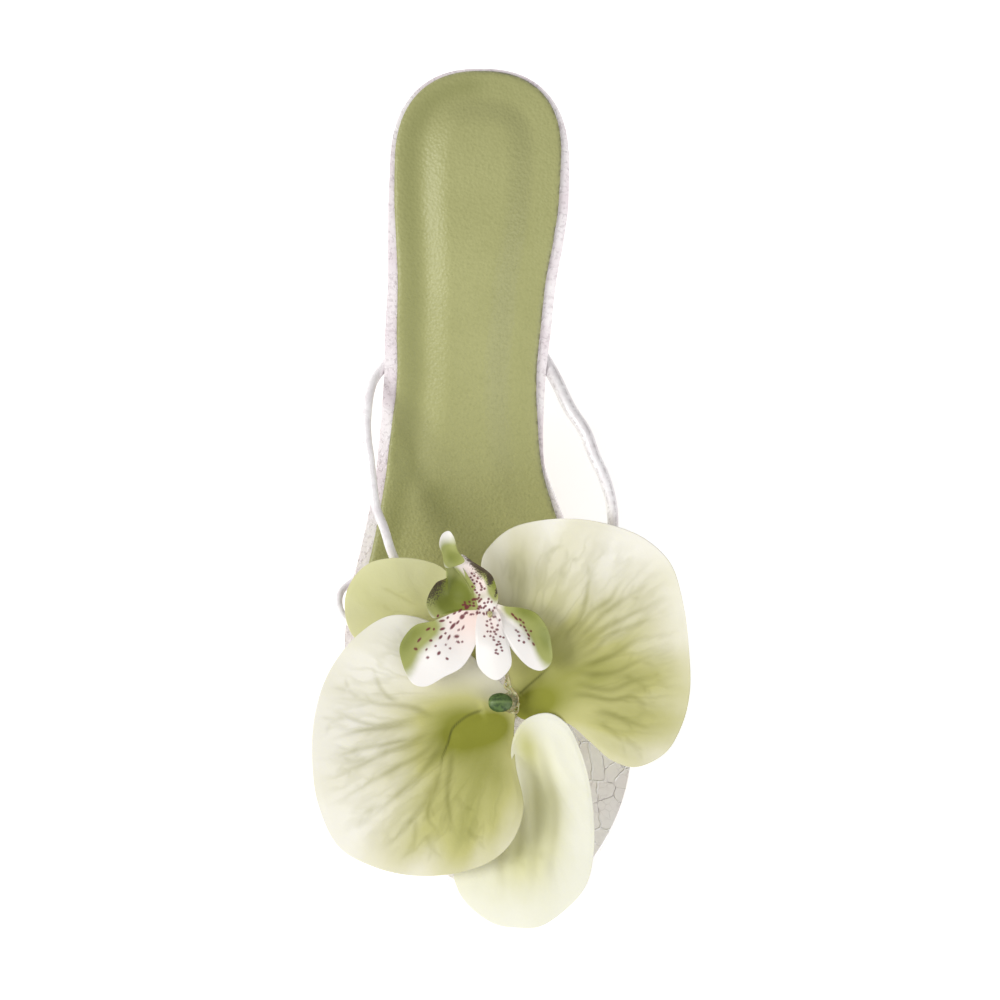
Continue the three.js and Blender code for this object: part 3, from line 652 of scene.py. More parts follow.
@dataclass(frozen=True)
class BudPlastic:
    """Blue green moulded bud with darker flanks."""

    name: str = "bud_plastic"
    green: Colour = tone(82, 107, 50)
    dark: Colour = tone(44, 68, 26)
    ridge: Colour = tone(126, 148, 86)

    def build(self) -> bpy.types.Material:
        """Make the material."""
        board = Board(self.name)
        spot = board.place()
        clouds = board.noise(spot, 900, 4)
        base = board.mix(clouds.between(0.35, 0.68), self.green, self.dark)
        base = board.mix(board.attribute("ridge") * 0.55, base, self.ridge)
        normal = board.bump(clouds, 0.0001, 0.5)
        return board.finish(Base_Color=base, Roughness=0.38 + clouds * 0.2, Normal=normal)


@dataclass(frozen=True)
class ClearGlue:
    """Cloudy hot glue."""

    name: str = "clear_glue"
    light: Colour = tone(198, 192, 144)
    dark: Colour = tone(142, 134, 82)

    def build(self) -> bpy.types.Material:
        """Make the material."""
        board = Board(self.name)
        spot = board.place()
        clouds = board.noise(spot, 800, 4, 0.65)
        base = board.mix(clouds.between(0.36, 0.66), self.light, self.dark)
        return board.finish(
            Base_Color=base, Roughness=0.16 + clouds * 0.22, Normal=board.bump(clouds, 0.0003, 0.7),
            Subsurface_Weight=0.2, Subsurface_Scale=0.001, Coat_Weight=0.4, Coat_Roughness=0.08,
        )


# Forms


def start_clean() -> None:
    """Leave nothing selected, so that an operator acts on its own piece."""
    bpy.ops.object.select_all(action="DESELECT")


def pick(*pieces: bpy.types.Object) -> None:
    """Select these pieces alone and make the first the active one."""
    start_clean()
    for piece in pieces:
        piece.select_set(True)
    bpy.context.view_layer.objects.active = pieces[0]


def write_points(piece: bpy.types.Object, points: np.ndarray) -> None:
    """Set all points of a mesh, in millimetres.

    Args:
        piece: The piece.
        points: Its points, one a row.
    """
    piece.data.vertices.foreach_set("co", np.asarray(points * MM, np.float32).ravel())
    piece.data.update()


def read_points(piece: bpy.types.Object) -> np.ndarray:
    """Read all points of a mesh in the mesh's own units."""
    flat = np.zeros(len(piece.data.vertices) * 3, np.float32)
    piece.data.vertices.foreach_get("co", flat)
    return flat.reshape(-1, 3).astype(float)


def write_share(piece: bpy.types.Object, name: str, values: np.ndarray) -> None:
    """Store a number at each point for the shader.

    Args:
        piece: The piece.
        name: The attribute's name.
        values: One number a point.
    """
    layer = piece.data.attributes.new(name, "FLOAT", "POINT")
    layer.data.foreach_set("value", np.asarray(values, np.float32))


def add_sheet(name: str, columns: int, rows: int) -> bpy.types.Object:
    """Add a square grid from -1 to 1 as the start of a piece.

    Args:
        name: The piece's name.
        columns: Faces across.
        rows: Faces along.

    Returns:
        The grid.
    """
    start_clean()
    bpy.ops.mesh.primitive_grid_add(x_subdivisions=columns, y_subdivisions=rows, size=2)
    piece = bpy.context.object
    piece.name = name
    piece.data.name = name
    return piece


def apply(piece: bpy.types.Object, kind: str, **settings: Any) -> None:
    """Add a modifier and apply it.

    Args:
        piece: The piece.
        kind: The modifier's type.
        **settings: Its settings.
    """
    pick(piece)
    modifier = piece.modifiers.new(kind.lower(), kind)
    for key, value in settings.items():
        setattr(modifier, key, value)
    bpy.ops.object.modifier_apply(modifier=modifier.name)


def close_up(piece: bpy.types.Object, weld: float = 0.0) -> None:
    """Weld what lies together and turn every face outwards.

    Args:
        piece: The piece.
        weld: Distance in metres within which points are welded, or 0 for none.
    """
    pick(piece)
    bpy.ops.object.mode_set(mode="EDIT")
    bpy.ops.mesh.select_all(action="SELECT")
    if weld:
        bpy.ops.mesh.remove_doubles(threshold=weld)
    bpy.ops.mesh.normals_make_consistent(inside=False)
    bpy.ops.object.mode_set(mode="OBJECT")


def smooth(piece: bpy.types.Object, angle: float | None = None) -> None:
    """Shade a piece smoothly, with edges sharper than an angle left sharp.

    Args:
        piece: The piece.
        angle: The angle in degrees, or None to smooth all.
    """
    pick(piece)
    if angle is None:
        bpy.ops.object.shade_smooth()
    else:
        bpy.ops.object.shade_smooth_by_angle(angle=math.radians(angle))


def round_edges(piece: bpy.types.Object, width: float, segments: int) -> None:
    """Round a piece's sharp edges and shade it.

    Args:
        piece: The piece.
        width: Width of the rounding in millimetres.
        segments: Faces across the rounding.
    """
    apply(piece, "BEVEL", width=width * MM, segments=segments, limit_method="ANGLE", angle_limit=1.0)
    smooth(piece, 50)


def join(pieces: Sequence[bpy.types.Object], name: str) -> bpy.types.Object:
    """Join pieces into the first.

    Args:
        pieces: The pieces.
        name: The joined piece's name.

    Returns:
        The joined piece.
    """
    pick(*pieces)
    bpy.ops.object.join()
    joined = bpy.context.object
    joined.name = name
    joined.data.name = name
    return joined


class Ends(Enum):
    """How the two ends of a sheet along the sole are closed."""

    ROUND = "both round"
    BLUNT_FRONT = "round at the heel, straight at the front"
    BLUNT_BACK = "straight at the back, round at the toe"


def to_disc(u: np.ndarray, v: np.ndarray, ends: Ends = Ends.ROUND) -> tuple[np.ndarray, np.ndarray]:
    """Turn a square grid into a disc, or into a square with one round end.

    Args:
        u: Places across, from -1 to 1.
        v: Places along, from -1 to 1.
        ends: Which ends become round.

    Returns:
        The places across and along.
    """
    rounded = np.ones(len(u), bool)
    if ends is Ends.BLUNT_FRONT:
        rounded = v < 0
    if ends is Ends.BLUNT_BACK:
        rounded = v > 0
    across = np.where(rounded, u * np.sqrt(1 - v**2 / 2), u)
    along = np.where(rounded, v * np.sqrt(1 - u**2 / 2), v)
    return across, along


class Slab:
    """A closed sheet with two skins on one square grid."""

    def __init__(self, name: str, columns: int, rows: int) -> None:
        """Add the grid and give it a second skin."""
        self.piece = add_sheet(name, columns, rows)
        apply(self.piece, "SOLIDIFY", thickness=0.1, offset=-1)
        points = read_points(self.piece)
        self.u = np.clip(points[:, 0], -1, 1)
        self.v = np.clip(points[:, 1], -1, 1)
        self.under = points[:, 2] < -0.05

    def shape(self, points: np.ndarray) -> bpy.types.Object:
        """Place both skins, in millimetres, and turn the faces outwards."""
        write_points(self.piece, points)
        close_up(self.piece)
        return self.piece


class Tube:
    """A closed tube on one square grid, its last rows drawn in to close both ends."""

    def __init__(self, name: str, sides: int, rows: int) -> None:
        """Add the grid."""
        self.piece = add_sheet(name, sides, rows)
        points = read_points(self.piece)
        self.angle = (np.clip(points[:, 0], -1, 1) + 1) * math.pi
        self.along = (np.clip(points[:, 1], -1, 1) + 1) / 2

    def shape(self, points: np.ndarray) -> bpy.types.Object:
        """Place the points, in millimetres, weld the seam and the ends, and turn the faces outwards."""
        write_points(self.piece, points)
        close_up(self.piece, 0.000002)
        return self.piece


def cord_piece(name: str, line: np.ndarray, radius: Callable[[np.ndarray], np.ndarray],
               sides: int = 20, rows: int = 160, cap: float = 0.02,
               ridge: float = 0.0, painted_crease_shade_angles: Sequence[float] = ()) -> bpy.types.Object:
    """Draw a round cord along a line.

    Args:
        name: The piece's name.
        line: The line's points in millimetres.
        radius: Radius in millimetres by share along the line.
        sides: Faces round it.
        rows: Faces along it.
        cap: Share of the rows that closes each end.
        ridge: Height of a folded seam along its top, as a share of the radius.
        painted_crease_shade_angles: Angles round it, in degrees from its big toe side, at which dark lines of
            painted shade run.

    Returns:
        The cord.
    """
    tube = Tube(name, sides, rows)
    place = np.clip((tube.along - cap) / (1 - 2 * cap), 0, 1)
    steps = np.linspace(0, 1, 400)
    path = smooth_line(line, len(steps))
    run = np.gradient(path, axis=0)
    run /= np.linalg.norm(run, axis=1)[:, None]
    side = np.cross(run, np.array([0.0, 0.0, 1.0]))
    flat = np.linalg.norm(side, axis=1) < 0.05
    side[flat] = np.array([1.0, 0.0, 0.0])
    side /= np.linalg.norm(side, axis=1)[:, None]
    up = np.cross(side, run)
    closing = np.clip(np.minimum(tube.along, 1 - tube.along) / cap, 0, 1)
    closing = np.sqrt(1 - (1 - closing) ** 2)
    lift = 1 + ridge * np.exp(-(np.cos(tube.angle) ** 2) * 14) * (np.sin(tube.angle) > 0)
    # Lines of painted shade round the cord, where its creases would be shaded
    lines = [bell(tube.angle - math.radians(painted_crease_shade), 0.2) for painted_crease_shade in painted_crease_shade_angles]
    write_share(tube.piece, "painted_crease_shade", sum(lines, np.zeros(len(tube.angle))))
    reach = radius(place) * closing * lift
    around = np.cos(tube.angle)[:, None] * read_line(place, steps, side)
    around += np.sin(tube.angle)[:, None] * read_line(place, steps, up)
    piece = tube.shape(read_line(place, steps, path) + around * reach[:, None])
    smooth(piece)
    return piece


def dress(piece: bpy.types.Object, material: bpy.types.Material, slot: str, *nodes: str) -> None:
    """Give a piece its material, its body and the nodes that it stands for.

    Args:
        piece: The piece.
        material: Its material.
        slot: The record's material slot; not used.
        *nodes: The nodes that it replaces.
    """
    piece.data.materials.clear()
    piece.data.materials.append(material)
    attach(piece, "root")
    if nodes:
        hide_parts(*nodes)
    logging.info("%s: %d faces", piece.name, len(piece.data.polygons))


# The last and the pieces of the sole


@dataclass(frozen=True)
class Last:
    """The form that the sole is built on."""

    length: float = 231.0
    ball_width: float = 80.4
    heel_height: float = 52.5
    toe_spring: float = 5.0
    tread_end: float = 0.85
    seat_round: float = 27.0
    seat_power: float = 2.4
    toe_round: float = 60.7
    toe_power: float = 1.85
    outsole: float = 2.5
    fit: float = 0.3
    setback: float = 24.0
    rows: tuple[Row, ...] = (
        (0.00, 0.007, 0.312, 1.045), (0.10, 0.004, 0.312, 1.005), (0.16, -0.001, 0.314, 0.953),
        (0.20, -0.009, 0.307, 0.905), (0.25, -0.024, 0.294, 0.825), (0.30, -0.037, 0.291, 0.725),
        (0.35, -0.048, 0.284, 0.615), (0.40, -0.058, 0.286, 0.500), (0.45, -0.065, 0.295, 0.385),
        (0.50, -0.053, 0.332, 0.275), (0.55, -0.037, 0.381, 0.180), (0.60, -0.022, 0.433, 0.100),
        (0.66, 0.001, 0.479, 0.028), (0.70, 0.021, 0.494, 0.0), (0.74, 0.040, 0.499, 0.0),
        (0.85, 0.082, 0.499, 0.0), (0.95, 0.112, 0.499, 0.0), (1.00, 0.138, 0.499, 0.0),
    )

    def profile(self, t: np.ndarray) -> tuple[np.ndarray, np.ndarray]:
        """Side view of the board's underside: y and z at a place along the sole."""
        spring = self.toe_spring * np.maximum(0, (t - self.tread_end) / (1 - self.tread_end)) ** 2
        rise = self.heel_height * read_rows(self.rows, 3, t)
        return self.setback - t * self.length, self.outsole + self.fit + rise + spring

    def on(self, t: np.ndarray, x: np.ndarray, up: np.ndarray) -> np.ndarray:
        """Stand points on the last.

        Args:
            t: Places along the sole.
            x: Distances from its middle plane.
            up: Heights square to the board's underside.

        Returns:
            The points.
        """
        y, z = self.profile(t)
        behind_y, behind_z = self.profile(np.maximum(0, t - 0.001))
        ahead_y, ahead_z = self.profile(np.minimum(1, t + 0.001))
        run, drop = behind_y - ahead_y, behind_z - ahead_z
        slope = np.hypot(run, drop)
        return np.stack([x, y - up * drop / slope, z + up * run / slope], axis=1)

    def swing(self, t: np.ndarray) -> np.ndarray:
        """Distance of the centreline from the middle plane."""
        return read_rows(self.rows, 1, t) * self.ball_width

    def half(self, t: np.ndarray, inset: float) -> np.ndarray:
        """Half width at a place, inside an inset from the edge."""
        s = t * self.length
        seat = self._round(s - inset, self.seat_round - inset, self.seat_power)
        toe = self._round(self.length - inset - s, self.toe_round - inset, self.toe_power)
        return (read_rows(self.rows, 2, t) * self.ball_width - inset) * seat * toe

    @staticmethod
    def _round(distance: np.ndarray, length: float, power: float) -> np.ndarray:
        """Share of the width that is left at a distance into a rounded end."""
        rest = 1 - np.clip(distance / length, 0, 1)
        return (1 - rest**power) ** (1 / power)


@dataclass
class Footbed:
    """The board with its wrap, the outsole under it and the sock over it."""

    last: Last
    board: float = 4.0
    board_edge: float = 1.52
    outsole_edge: float = 0.45
    outsole_inset: float = 1.2
    outsole_back: float = 0.2091
    sock: float = 1.0
    sock_inset: float = 0.8
    sock_rim: float = 2.6
    sock_end: float = 0.6
    sock_roll: float = 1.6
    sock_drop: float = 0.75
    cut_and_shadow_width: float = 0.45
    pad: float = 2.0
    pad_inset: float = 8.0
    pad_slope: float = 7.6
    pad_fade: tuple[float, float] = (0.3, 0.58)
    valley: float = 0.35
    valley_width: float = 3.4
    # Place and width of the painted shade along the groove inside the sock's rim
    painted_shade_place: float = 4.2
    painted_shade_width: float = 3.4
    # Dents in the sock, each a line of places along and across in millimetres, a depth and a width; fold_shade
    # darkens them as painted shadows of the cord and the flower
    fold_shade: float = 1.7
    folds_with_painted_shading: tuple[tuple[Line, float, float], ...] = (
        (((92, -27), (98, -24), (104.5, -19), (111, -14), (119, -8.5), (130, -3)), 0.4, 3.4),
        (((110, -16), (119, -8), (124, 2), (127, 12)), 0.3, 6.5),
    )
    rims: tuple[Row, ...] = (
        (0.00, 0.10, 0.10), (0.12, 0.23, 0.63), (0.20, 0.58, 0.85), (0.30, 1.00, 0.88),
        (0.37, 1.15, 0.63), (0.41, 0.93, 0.28), (0.46, 0.85, 0.00), (0.50, 0.88, 0.28), (0.60, 1.00, 0.58),
    )

    def _plan(self, slab: Slab, inset: float, back: float, front: float, ends: Ends,
              rim: float = 0.0) -> tuple[np.ndarray, np.ndarray]:
        """Spread a slab's grid over the sole.

        Args:
            slab: The slab.
            inset: Distance inside the board's edge.
            back: Place along the sole where it starts.
            front: Place where it ends.
            ends: Which ends are round.
            rim: Width of the bare rim where its table says 1.

        Returns:
            Places along the sole and distances from the middle plane.
        """
        across, along = to_disc(slab.u, slab.v, ends)
        start = back + (inset / self.last.length if ends is not Ends.BLUNT_BACK else 0)
        end = front - (inset / self.last.length if ends is not Ends.BLUNT_FRONT else 0)
        t = start + (end - start) * (along + 1) / 2
        curved = (along < 0) if ends is Ends.BLUNT_FRONT else (along > 0)
        curved = curved | (ends is Ends.ROUND)
        share = np.where(curved, across / np.sqrt(np.maximum(1 - along**2, 1e-9)), across)
        share = np.clip(share, -1, 1)
        left, right = self._reach(t, inset, rim)
        return t, self.last.swing(t) + share * np.where(share < 0, left, right)

    def _reach(self, t: np.ndarray, inset: float, rim: float) -> tuple[np.ndarray, np.ndarray]:
        """Half widths that a rim leaves on the small toes' side and on the big toe's side.

        Args:
            t: Places along the sole.
            inset: Distance inside the board's edge.
            rim: Width of the bare rim where its table says 1.

        Returns:
            The half width on each side.
        """
        half = self.last.half(t, inset)
        ratio = half / np.maximum(self.last.half(t, 0), 1e-6) * rim
        return half - read_rows(self.rims, 1, t) * ratio, half - read_rows(self.rims, 2, t) * ratio

    def build_board(self, material: bpy.types.Material) -> None:
        """Make the wrapped board with its rounded edge."""
        slab = Slab("wrapped_board", 56, 150)
        t, x = self._plan(slab, 0, 0, 1, Ends.ROUND)
        piece = slab.shape(self.last.on(t, x, np.where(slab.under, 0.0, self.board)))
        write_share(piece, "calm", 1 - ease(0.66, 0.74, t))
        # Painted light for the toe, in front of the ball
        write_share(piece, "painted_light", ease(0.66, 0.74, t))
        round_edges(piece, self.board_edge, 5)
        dress(piece, material, "crackle_leather", "insole_board")

    def build_outsole(self, material: bpy.types.Material) -> None:
        """Make the thin leather outsole from the heel's breast to the toe."""
        slab = Slab("leather_outsole", 48, 110)
        t, x = self._plan(slab, self.outsole_inset, self.outsole_back, 1, Ends.BLUNT_BACK)
        low, high = -self.last.fit - self.last.outsole, -self.last.fit
        piece = slab.shape(self.last.on(t, x, np.where(slab.under, low, high)))
        round_edges(piece, self.outsole_edge, 3)
        dress(piece, material, "sole_leather", "outsole")

    def build_sock(self, material: bpy.types.Material) -> None:
        """Make the sock with the foam pad under its leather."""
        slab = Slab("padded_sock", 110, 190)
        t, x = self._plan(slab, self.sock_inset, 0, self.sock_end, Ends.BLUNT_FRONT, self.sock_rim)
        low = self.board + self.last.fit
        plan = np.stack([t * self.last.length, x], axis=1)
        gap, _ = line_distance(plan, self._sock_rim())
        fade = 1 - ease(*self.pad_fade, t)
        foot = self.pad_inset - 1
        swell = ease(foot, self.pad_inset + self.pad_slope, gap)
        dip = self.valley * bell(gap - foot, self.valley_width) * (0.35 + 0.65 * fade)
        top = low + self.sock + self.pad * fade * swell - dip
        near = np.clip(gap / self.sock_roll, 0, 1)
        edge = self.sock_drop * (1 - np.sqrt(near * (2 - near)))
        # Painted shadows of the cord and the flower, laid along the dents
        shade = np.zeros(len(t))
        for line, depth, width in self.folds_with_painted_shading:
            far, where = line_distance(plan, smooth_line(np.array(line), 24))
            soft = ease(0, 0.15, where) * (1 - ease(0.5, 1.0, where)) * bell(far, width)
            top = top - depth * soft
            shade = shade + self.fold_shade * depth * soft
        piece = slab.shape(self.last.on(t, x, np.where(slab.under, low, top - edge)))
        # Painted shade: darker along the rim's groove, most on the small toes' side, plus the painted shadows
        left = ease(4, -4, x - self.last.swing(t))
        painted_shade = (0.25 + 0.75 * left) * bell(gap - self.painted_shade_place, self.painted_shade_width) + shade
        write_share(piece, "painted_shade", np.clip(painted_shade, 0, 1))
        # Cut edge with painted shadow, stronger on the big toe's side, away from the key light
        write_share(piece, "cut_edge_and_shadow", (0.35 + 0.65 * (1 - left)) * bell(gap, self.cut_and_shadow_width))
        smooth(piece, 60)
        dress(piece, material, "green_leather", "sock")

    def _sock_rim(self) -> np.ndarray:
        """The sock's outline as places along and across, in millimetres, open at its straight end."""
        t = np.concatenate([np.linspace(self.sock_end, 0.02, 90), 0.02 * np.linspace(1, 0, 24)[1:] ** 2])
        t = np.maximum(t, self.sock_inset / self.last.length)
        left, right = self._reach(t, self.sock_inset, self.sock_rim)
        s, middle = t * self.last.length, self.last.swing(t)
        return np.vstack([np.stack([s, middle - left], 1), np.stack([s, middle + right], 1)[::-1]])


@dataclass
class Heel:
    """The slim curved heel with its top piece."""

    last: Last
    seat_length: float = 48.0
    seat_inset: float = 1.2
    tip_length: float = 10.5
    tip_width: float = 10.5
    top_piece: float = 5.0
    worn_edge: float = 0.5
    flare: tuple[Row, ...] = (
        (0.00, 0.00, 0.00, 0.00, 2.6), (0.15, 0.02, 0.00, 0.02, 2.6), (0.35, 0.10, 0.02, 0.08, 2.6),
        (0.55, 0.25, 0.07, 0.19, 2.7), (0.70, 0.42, 0.17, 0.34, 2.9), (0.82, 0.60, 0.34, 0.53, 3.2),
        (0.90, 0.76, 0.54, 0.72, 3.6), (0.96, 0.90, 0.78, 0.89, 4.2), (1.00, 1.00, 1.00, 1.00, 5.0),
    )

    def _ring(self, angle: np.ndarray, back: np.ndarray, front: np.ndarray, half: np.ndarray,
              power: np.ndarray) -> tuple[np.ndarray, np.ndarray]:
        """Plan of a level of the heel, rounder at its back than at its breast.

        Args:
            angle: Angle round the heel from its back.
            back: Reach to the back.
            front: Reach to the front.
            half: Half width.
            power: Squareness of the breast.

        Returns:
            The places across and along.
        """
        roundness = np.where(np.cos(angle) >= 0, self.last.seat_power, power)
        across = -half * np.sign(np.sin(angle)) * np.abs(np.sin(angle)) ** (2 / roundness)
        reach = np.sign(np.cos(angle)) * np.abs(np.cos(angle)) ** (2 / roundness)
        return across, (back - front) / 2 + (back + front) / 2 * reach

    def build_heel(self, material: bpy.types.Material) -> None:
        """Make the heel, closed against the board's underside."""
        tube = Tube("wrapped_heel", 120, 96)
        bottom = self.top_piece + self.last.fit
        seat = float(self.last.profile(np.array([self.seat_length / self.last.length]))[1][0]) - self.last.fit
        cap, rim, crown = 0.06, 0.90, 0.94
        body = np.clip((tube.along - cap) / (rim - cap), 0, 1)
        over = np.clip((tube.along - rim) / (crown - rim), 0, 1)
        draw = 1 - np.clip((tube.along - crown) / (1 - crown), 0, 1)
        draw = np.minimum(draw, np.clip(tube.along / cap, 0, 1))
        inset = self.seat_inset
        seat_half = self.last.half(np.array([self.last.seat_round / self.last.length]), inset)[0]
        tip = np.array([self.tip_length, self.tip_length, self.tip_width]) / 2
        wide = np.array([self.last.setback - inset, self.seat_length - self.last.setback, seat_half])
        flare = np.stack([read_rows(self.flare, column, body) for column in (1, 2, 3)], axis=1)
        back, front, half = (tip + (wide - tip) * flare).T
        x, y = self._ring(tube.angle, back, front, half, read_rows(self.flare, 4, body))
        middle = (back - front) / 2
        x, y = x * draw, middle + (y - middle) * draw
        under = self._underside(y)
        z = bottom + (seat - bottom) * body
        z = np.where(tube.along > rim, z + (under - z) * over, np.minimum(z, under))
        piece = tube.shape(np.stack([x, y, z], axis=1))
        smooth(piece, 40)
        dress(piece, material, "crackle_leather", "heel")

    def _underside(self, y: np.ndarray) -> np.ndarray:
        """Height of the board's underside over a place, less the fit."""
        t = np.linspace(0, 0.35, 200)
        points = self.last.on(t, np.zeros(200), np.full(200, -self.last.fit))
        return np.interp(y, points[::-1, 1], points[::-1, 2])

    def build_top_piece(self, material: bpy.types.Material) -> None:
        """Make the rubber top piece with its worn edge."""
        tube = Tube("rubber_top_piece", 64, 40)
        cap, worn = 0.3, self.worn_edge
        draw = np.clip(np.minimum(tube.along, 1 - tube.along) / cap, 0, 1)
        z = np.clip((tube.along - cap) / (1 - 2 * cap), 0, 1)
        edge = worn * (1 - np.sqrt(1 - (1 - np.clip(z * self.top_piece / worn, 0, 1)) ** 2))
        reach = self.tip_length / 2 - edge
        x, y = self._ring(tube.angle, reach, reach, reach, np.full(len(z), 2.6))
        piece = tube.shape(np.stack([x * draw, y * draw, z * self.top_piece], axis=1))
        smooth(piece, 45)
        dress(piece, material, "heel_rubber", "top_piece")


# Straps


@dataclass(frozen=True)
class Cord:
    """A cord from under the board to the post's head.

    Its route holds the place along the sole, the distance outside the board's edge as a share of the
    ball's width, and the height over the board as a share of the post's height.
    """

    name: str
    side: int
    leave: float
    widths: tuple[float, float]
    rows: int
    route: tuple[Row, ...]
    ridge: float = 0.0
    # Angles of the painted shade lines round the cord
    painted_crease_shade_angles: tuple[float, ...] = ()

    def radius(self, share: np.ndarray) -> np.ndarray:
        """Radius in millimetres at a share along the cord."""
        start, end = self.widths
        return (start + (end - start) * ease(0, 0.7, share)) / 2


@dataclass
class Straps:
    """Four cords that meet at the head of the toe post."""

    last: Last
    board: float = 4.0
    post_place: float = 0.76
    post_offset: float = 8.2
    post_height: float = 18.0
    post_width: float = 3.4
    post_head: float = 9.6
    head_rise: float = 1.8
    tuck: float = 3.6
    slant: float = 0.018
    cords: tuple[Cord, ...] = (
        Cord("lateral", -1, 0.345, (2.6, 2.6), 190, painted_crease_shade_angles=(20,), route=(
            (0.373, 0.037, 0.19), (0.411, 0.044, 0.51), (0.439, 0.034, 0.69), (0.464, 0.015, 0.81),
            (0.496, -0.012, 0.92), (0.523, -0.041, 0.97), (0.547, -0.085, 0.99), (0.575, -0.133, 0.96),
            (0.631, -0.248, 0.95), (0.686, -0.374, 0.97), (0.725, -0.478, 1.00),
        )),
        Cord("medial", 1, 0.342, (3.9, 2.9), 200, ridge=0.07, painted_crease_shade_angles=(48, 118), route=(
            (0.367, 0.040, 0.10), (0.402, 0.089, 0.48), (0.435, 0.147, 0.78), (0.464, 0.166, 0.97),
            (0.490, 0.172, 1.10), (0.518, 0.162, 1.14), (0.544, 0.134, 1.12), (0.585, 0.069, 1.06),
            (0.633, -0.042, 1.06), (0.681, -0.178, 1.05), (0.720, -0.310, 1.01),
        )),
        Cord("toe_lateral", -1, 0.594, (2.0, 2.0), 110, route=(
            (0.611, 0.030, 0.08), (0.640, 0.012, 0.51), (0.677, -0.088, 0.80), (0.715, -0.229, 0.95),
            (0.740, -0.394, 1.00),
        )),
        Cord("toe_medial", 1, 0.705, (2.0, 2.0), 80, route=(
            (0.715, 0.022, 0.20), (0.731, -0.030, 0.55), (0.745, -0.130, 0.83), (0.755, -0.259, 0.98),
        )),
    )

    def head(self) -> np.ndarray:
        """Middle of the post's head."""
        y, z = self.last.profile(np.array([self.post_place]))
        return np.array([self.post_offset, y[0], z[0] + self.board + self.post_height])

    def _edge(self, t: np.ndarray, side: int) -> np.ndarray:
        """Distance of the board's edge from the middle plane, on one side."""
        return self.last.swing(t) + side * self.last.half(t, 0)

    def _line(self, cord: Cord) -> np.ndarray:
        """Run a cord from under the board, out at its edge and over to the post's head."""
        t = np.array([cord.leave - self.slant, cord.leave])
        x = self._edge(t, cord.side) - cord.side * np.array([self.tuck, 0])
        start = self.last.on(t, x, np.zeros(2))
        t, out, rise = np.array(cord.route).T
        y, z = self.last.profile(t)
        x = self._edge(t, cord.side) + cord.side * out * self.last.ball_width
        over = np.stack([x, y, z + self.board + rise * self.post_height], axis=1)
        return np.vstack([start, over, self.head()])

    def _post_radius(self, share: np.ndarray) -> np.ndarray:
        """Radius of the toe post, a little wider at both ends."""
        return self.post_width / 2 * (1 + 0.12 * np.abs(2 * share - 1) ** 3)

    def _head_radius(self, share: np.ndarray) -> np.ndarray:
        """Radius of the post's head, a little narrower at both faces."""
        return self.post_head / 2 * (1 - 0.12 * (2 * share - 1) ** 4)

    def build(self, material: bpy.types.Material) -> None:
        """Make the cords, the post and its head, and join them."""
        parts = [
            cord_piece(cord.name, self._line(cord), cord.radius, 24, cord.rows, 0.015, cord.ridge, cord.painted_crease_shade_angles)
            for cord in self.cords
        ]
        head = self.head()
        foot = float(self.last.profile(np.array([self.post_place]))[1][0])
        levels = (foot + 0.2, (foot + head[2]) / 2, head[2])
        post = np.array([(head[0], head[1], level) for level in levels])
        parts.append(cord_piece("post", post, self._post_radius, 28, 60, 0.03))
        rise = np.array([0, 0, self.head_rise])
        disc = np.array([head - rise, head, head + rise])
        parts.append(cord_piece("head", disc, self._head_radius, 40, 30, 0.2))
        piece = join(parts, "strap_cords")
        dress(piece, material, "strap_leather", "upper_straps")


# Flower


# Veins and creases, as lines of places from the flower's middle, across to the big toe's side and along to
# the toe, in thousandths of the flower's span
LATERAL_VEINS: tuple[Line, ...] = (
    ((-185, 41), (-222, 23), (-269, 9), (-339, 5), (-386, -6), (-430, -6)),
    ((-269, 8), (-302, -6), (-330, -34), (-356, -100)),
    ((-386, -6), (-414, -29), (-430, -41)),
    ((-231, 46), (-287, 57), (-343, 61), (-385, 52), (-420, 39), (-470, 16)),
    ((-420, 39), (-451, 49), (-478, 70)),
    ((-231, 53), (-306, 65), (-376, 74), (-436, 91), (-483, 112)),
    ((-236, 91), (-296, 105), (-357, 117), (-413, 131), (-497, 155)),
    ((-194, 70), (-250, 107), (-310, 128), (-357, 153), (-422, 184), (-468, 208)),
    ((-357, 153), (-394, 155), (-445, 168)),
    ((-171, 79), (-222, 135), (-282, 168), (-329, 194), (-370, 217), (-435, 259)),
    ((-161, 93), (-203, 159), (-240, 206), (-277, 234), (-314, 266), (-361, 304), (-416, 336)),
    ((-314, 266), (-352, 280), (-398, 304)),
    ((-184, 196), (-208, 252), (-240, 294), (-277, 341), (-337, 387)),
    ((-240, 294), (-240, 345), (-253, 411)),
    ((-175, 168), (-184, 215), (-203, 262), (-207, 304), (-184, 336), (-175, 369)),
    ((-143, 102), (-147, 168), (-156, 234), (-149, 304), (-124, 378)),
    ((-212, 341), (-203, 373), (-193, 401)),
    ((-138, 243), (-114, 271), (-103, 290)),
    ((-110, 322), (-91, 350), (-59, 369)),
)
LATERAL_CREASES: tuple[Line, ...] = (
    ((-59, 16), (-101, 32), (-129, 51), (-146, 70), (-157, 107), (-171, 145), (-177, 182), (-184, 215)),
)
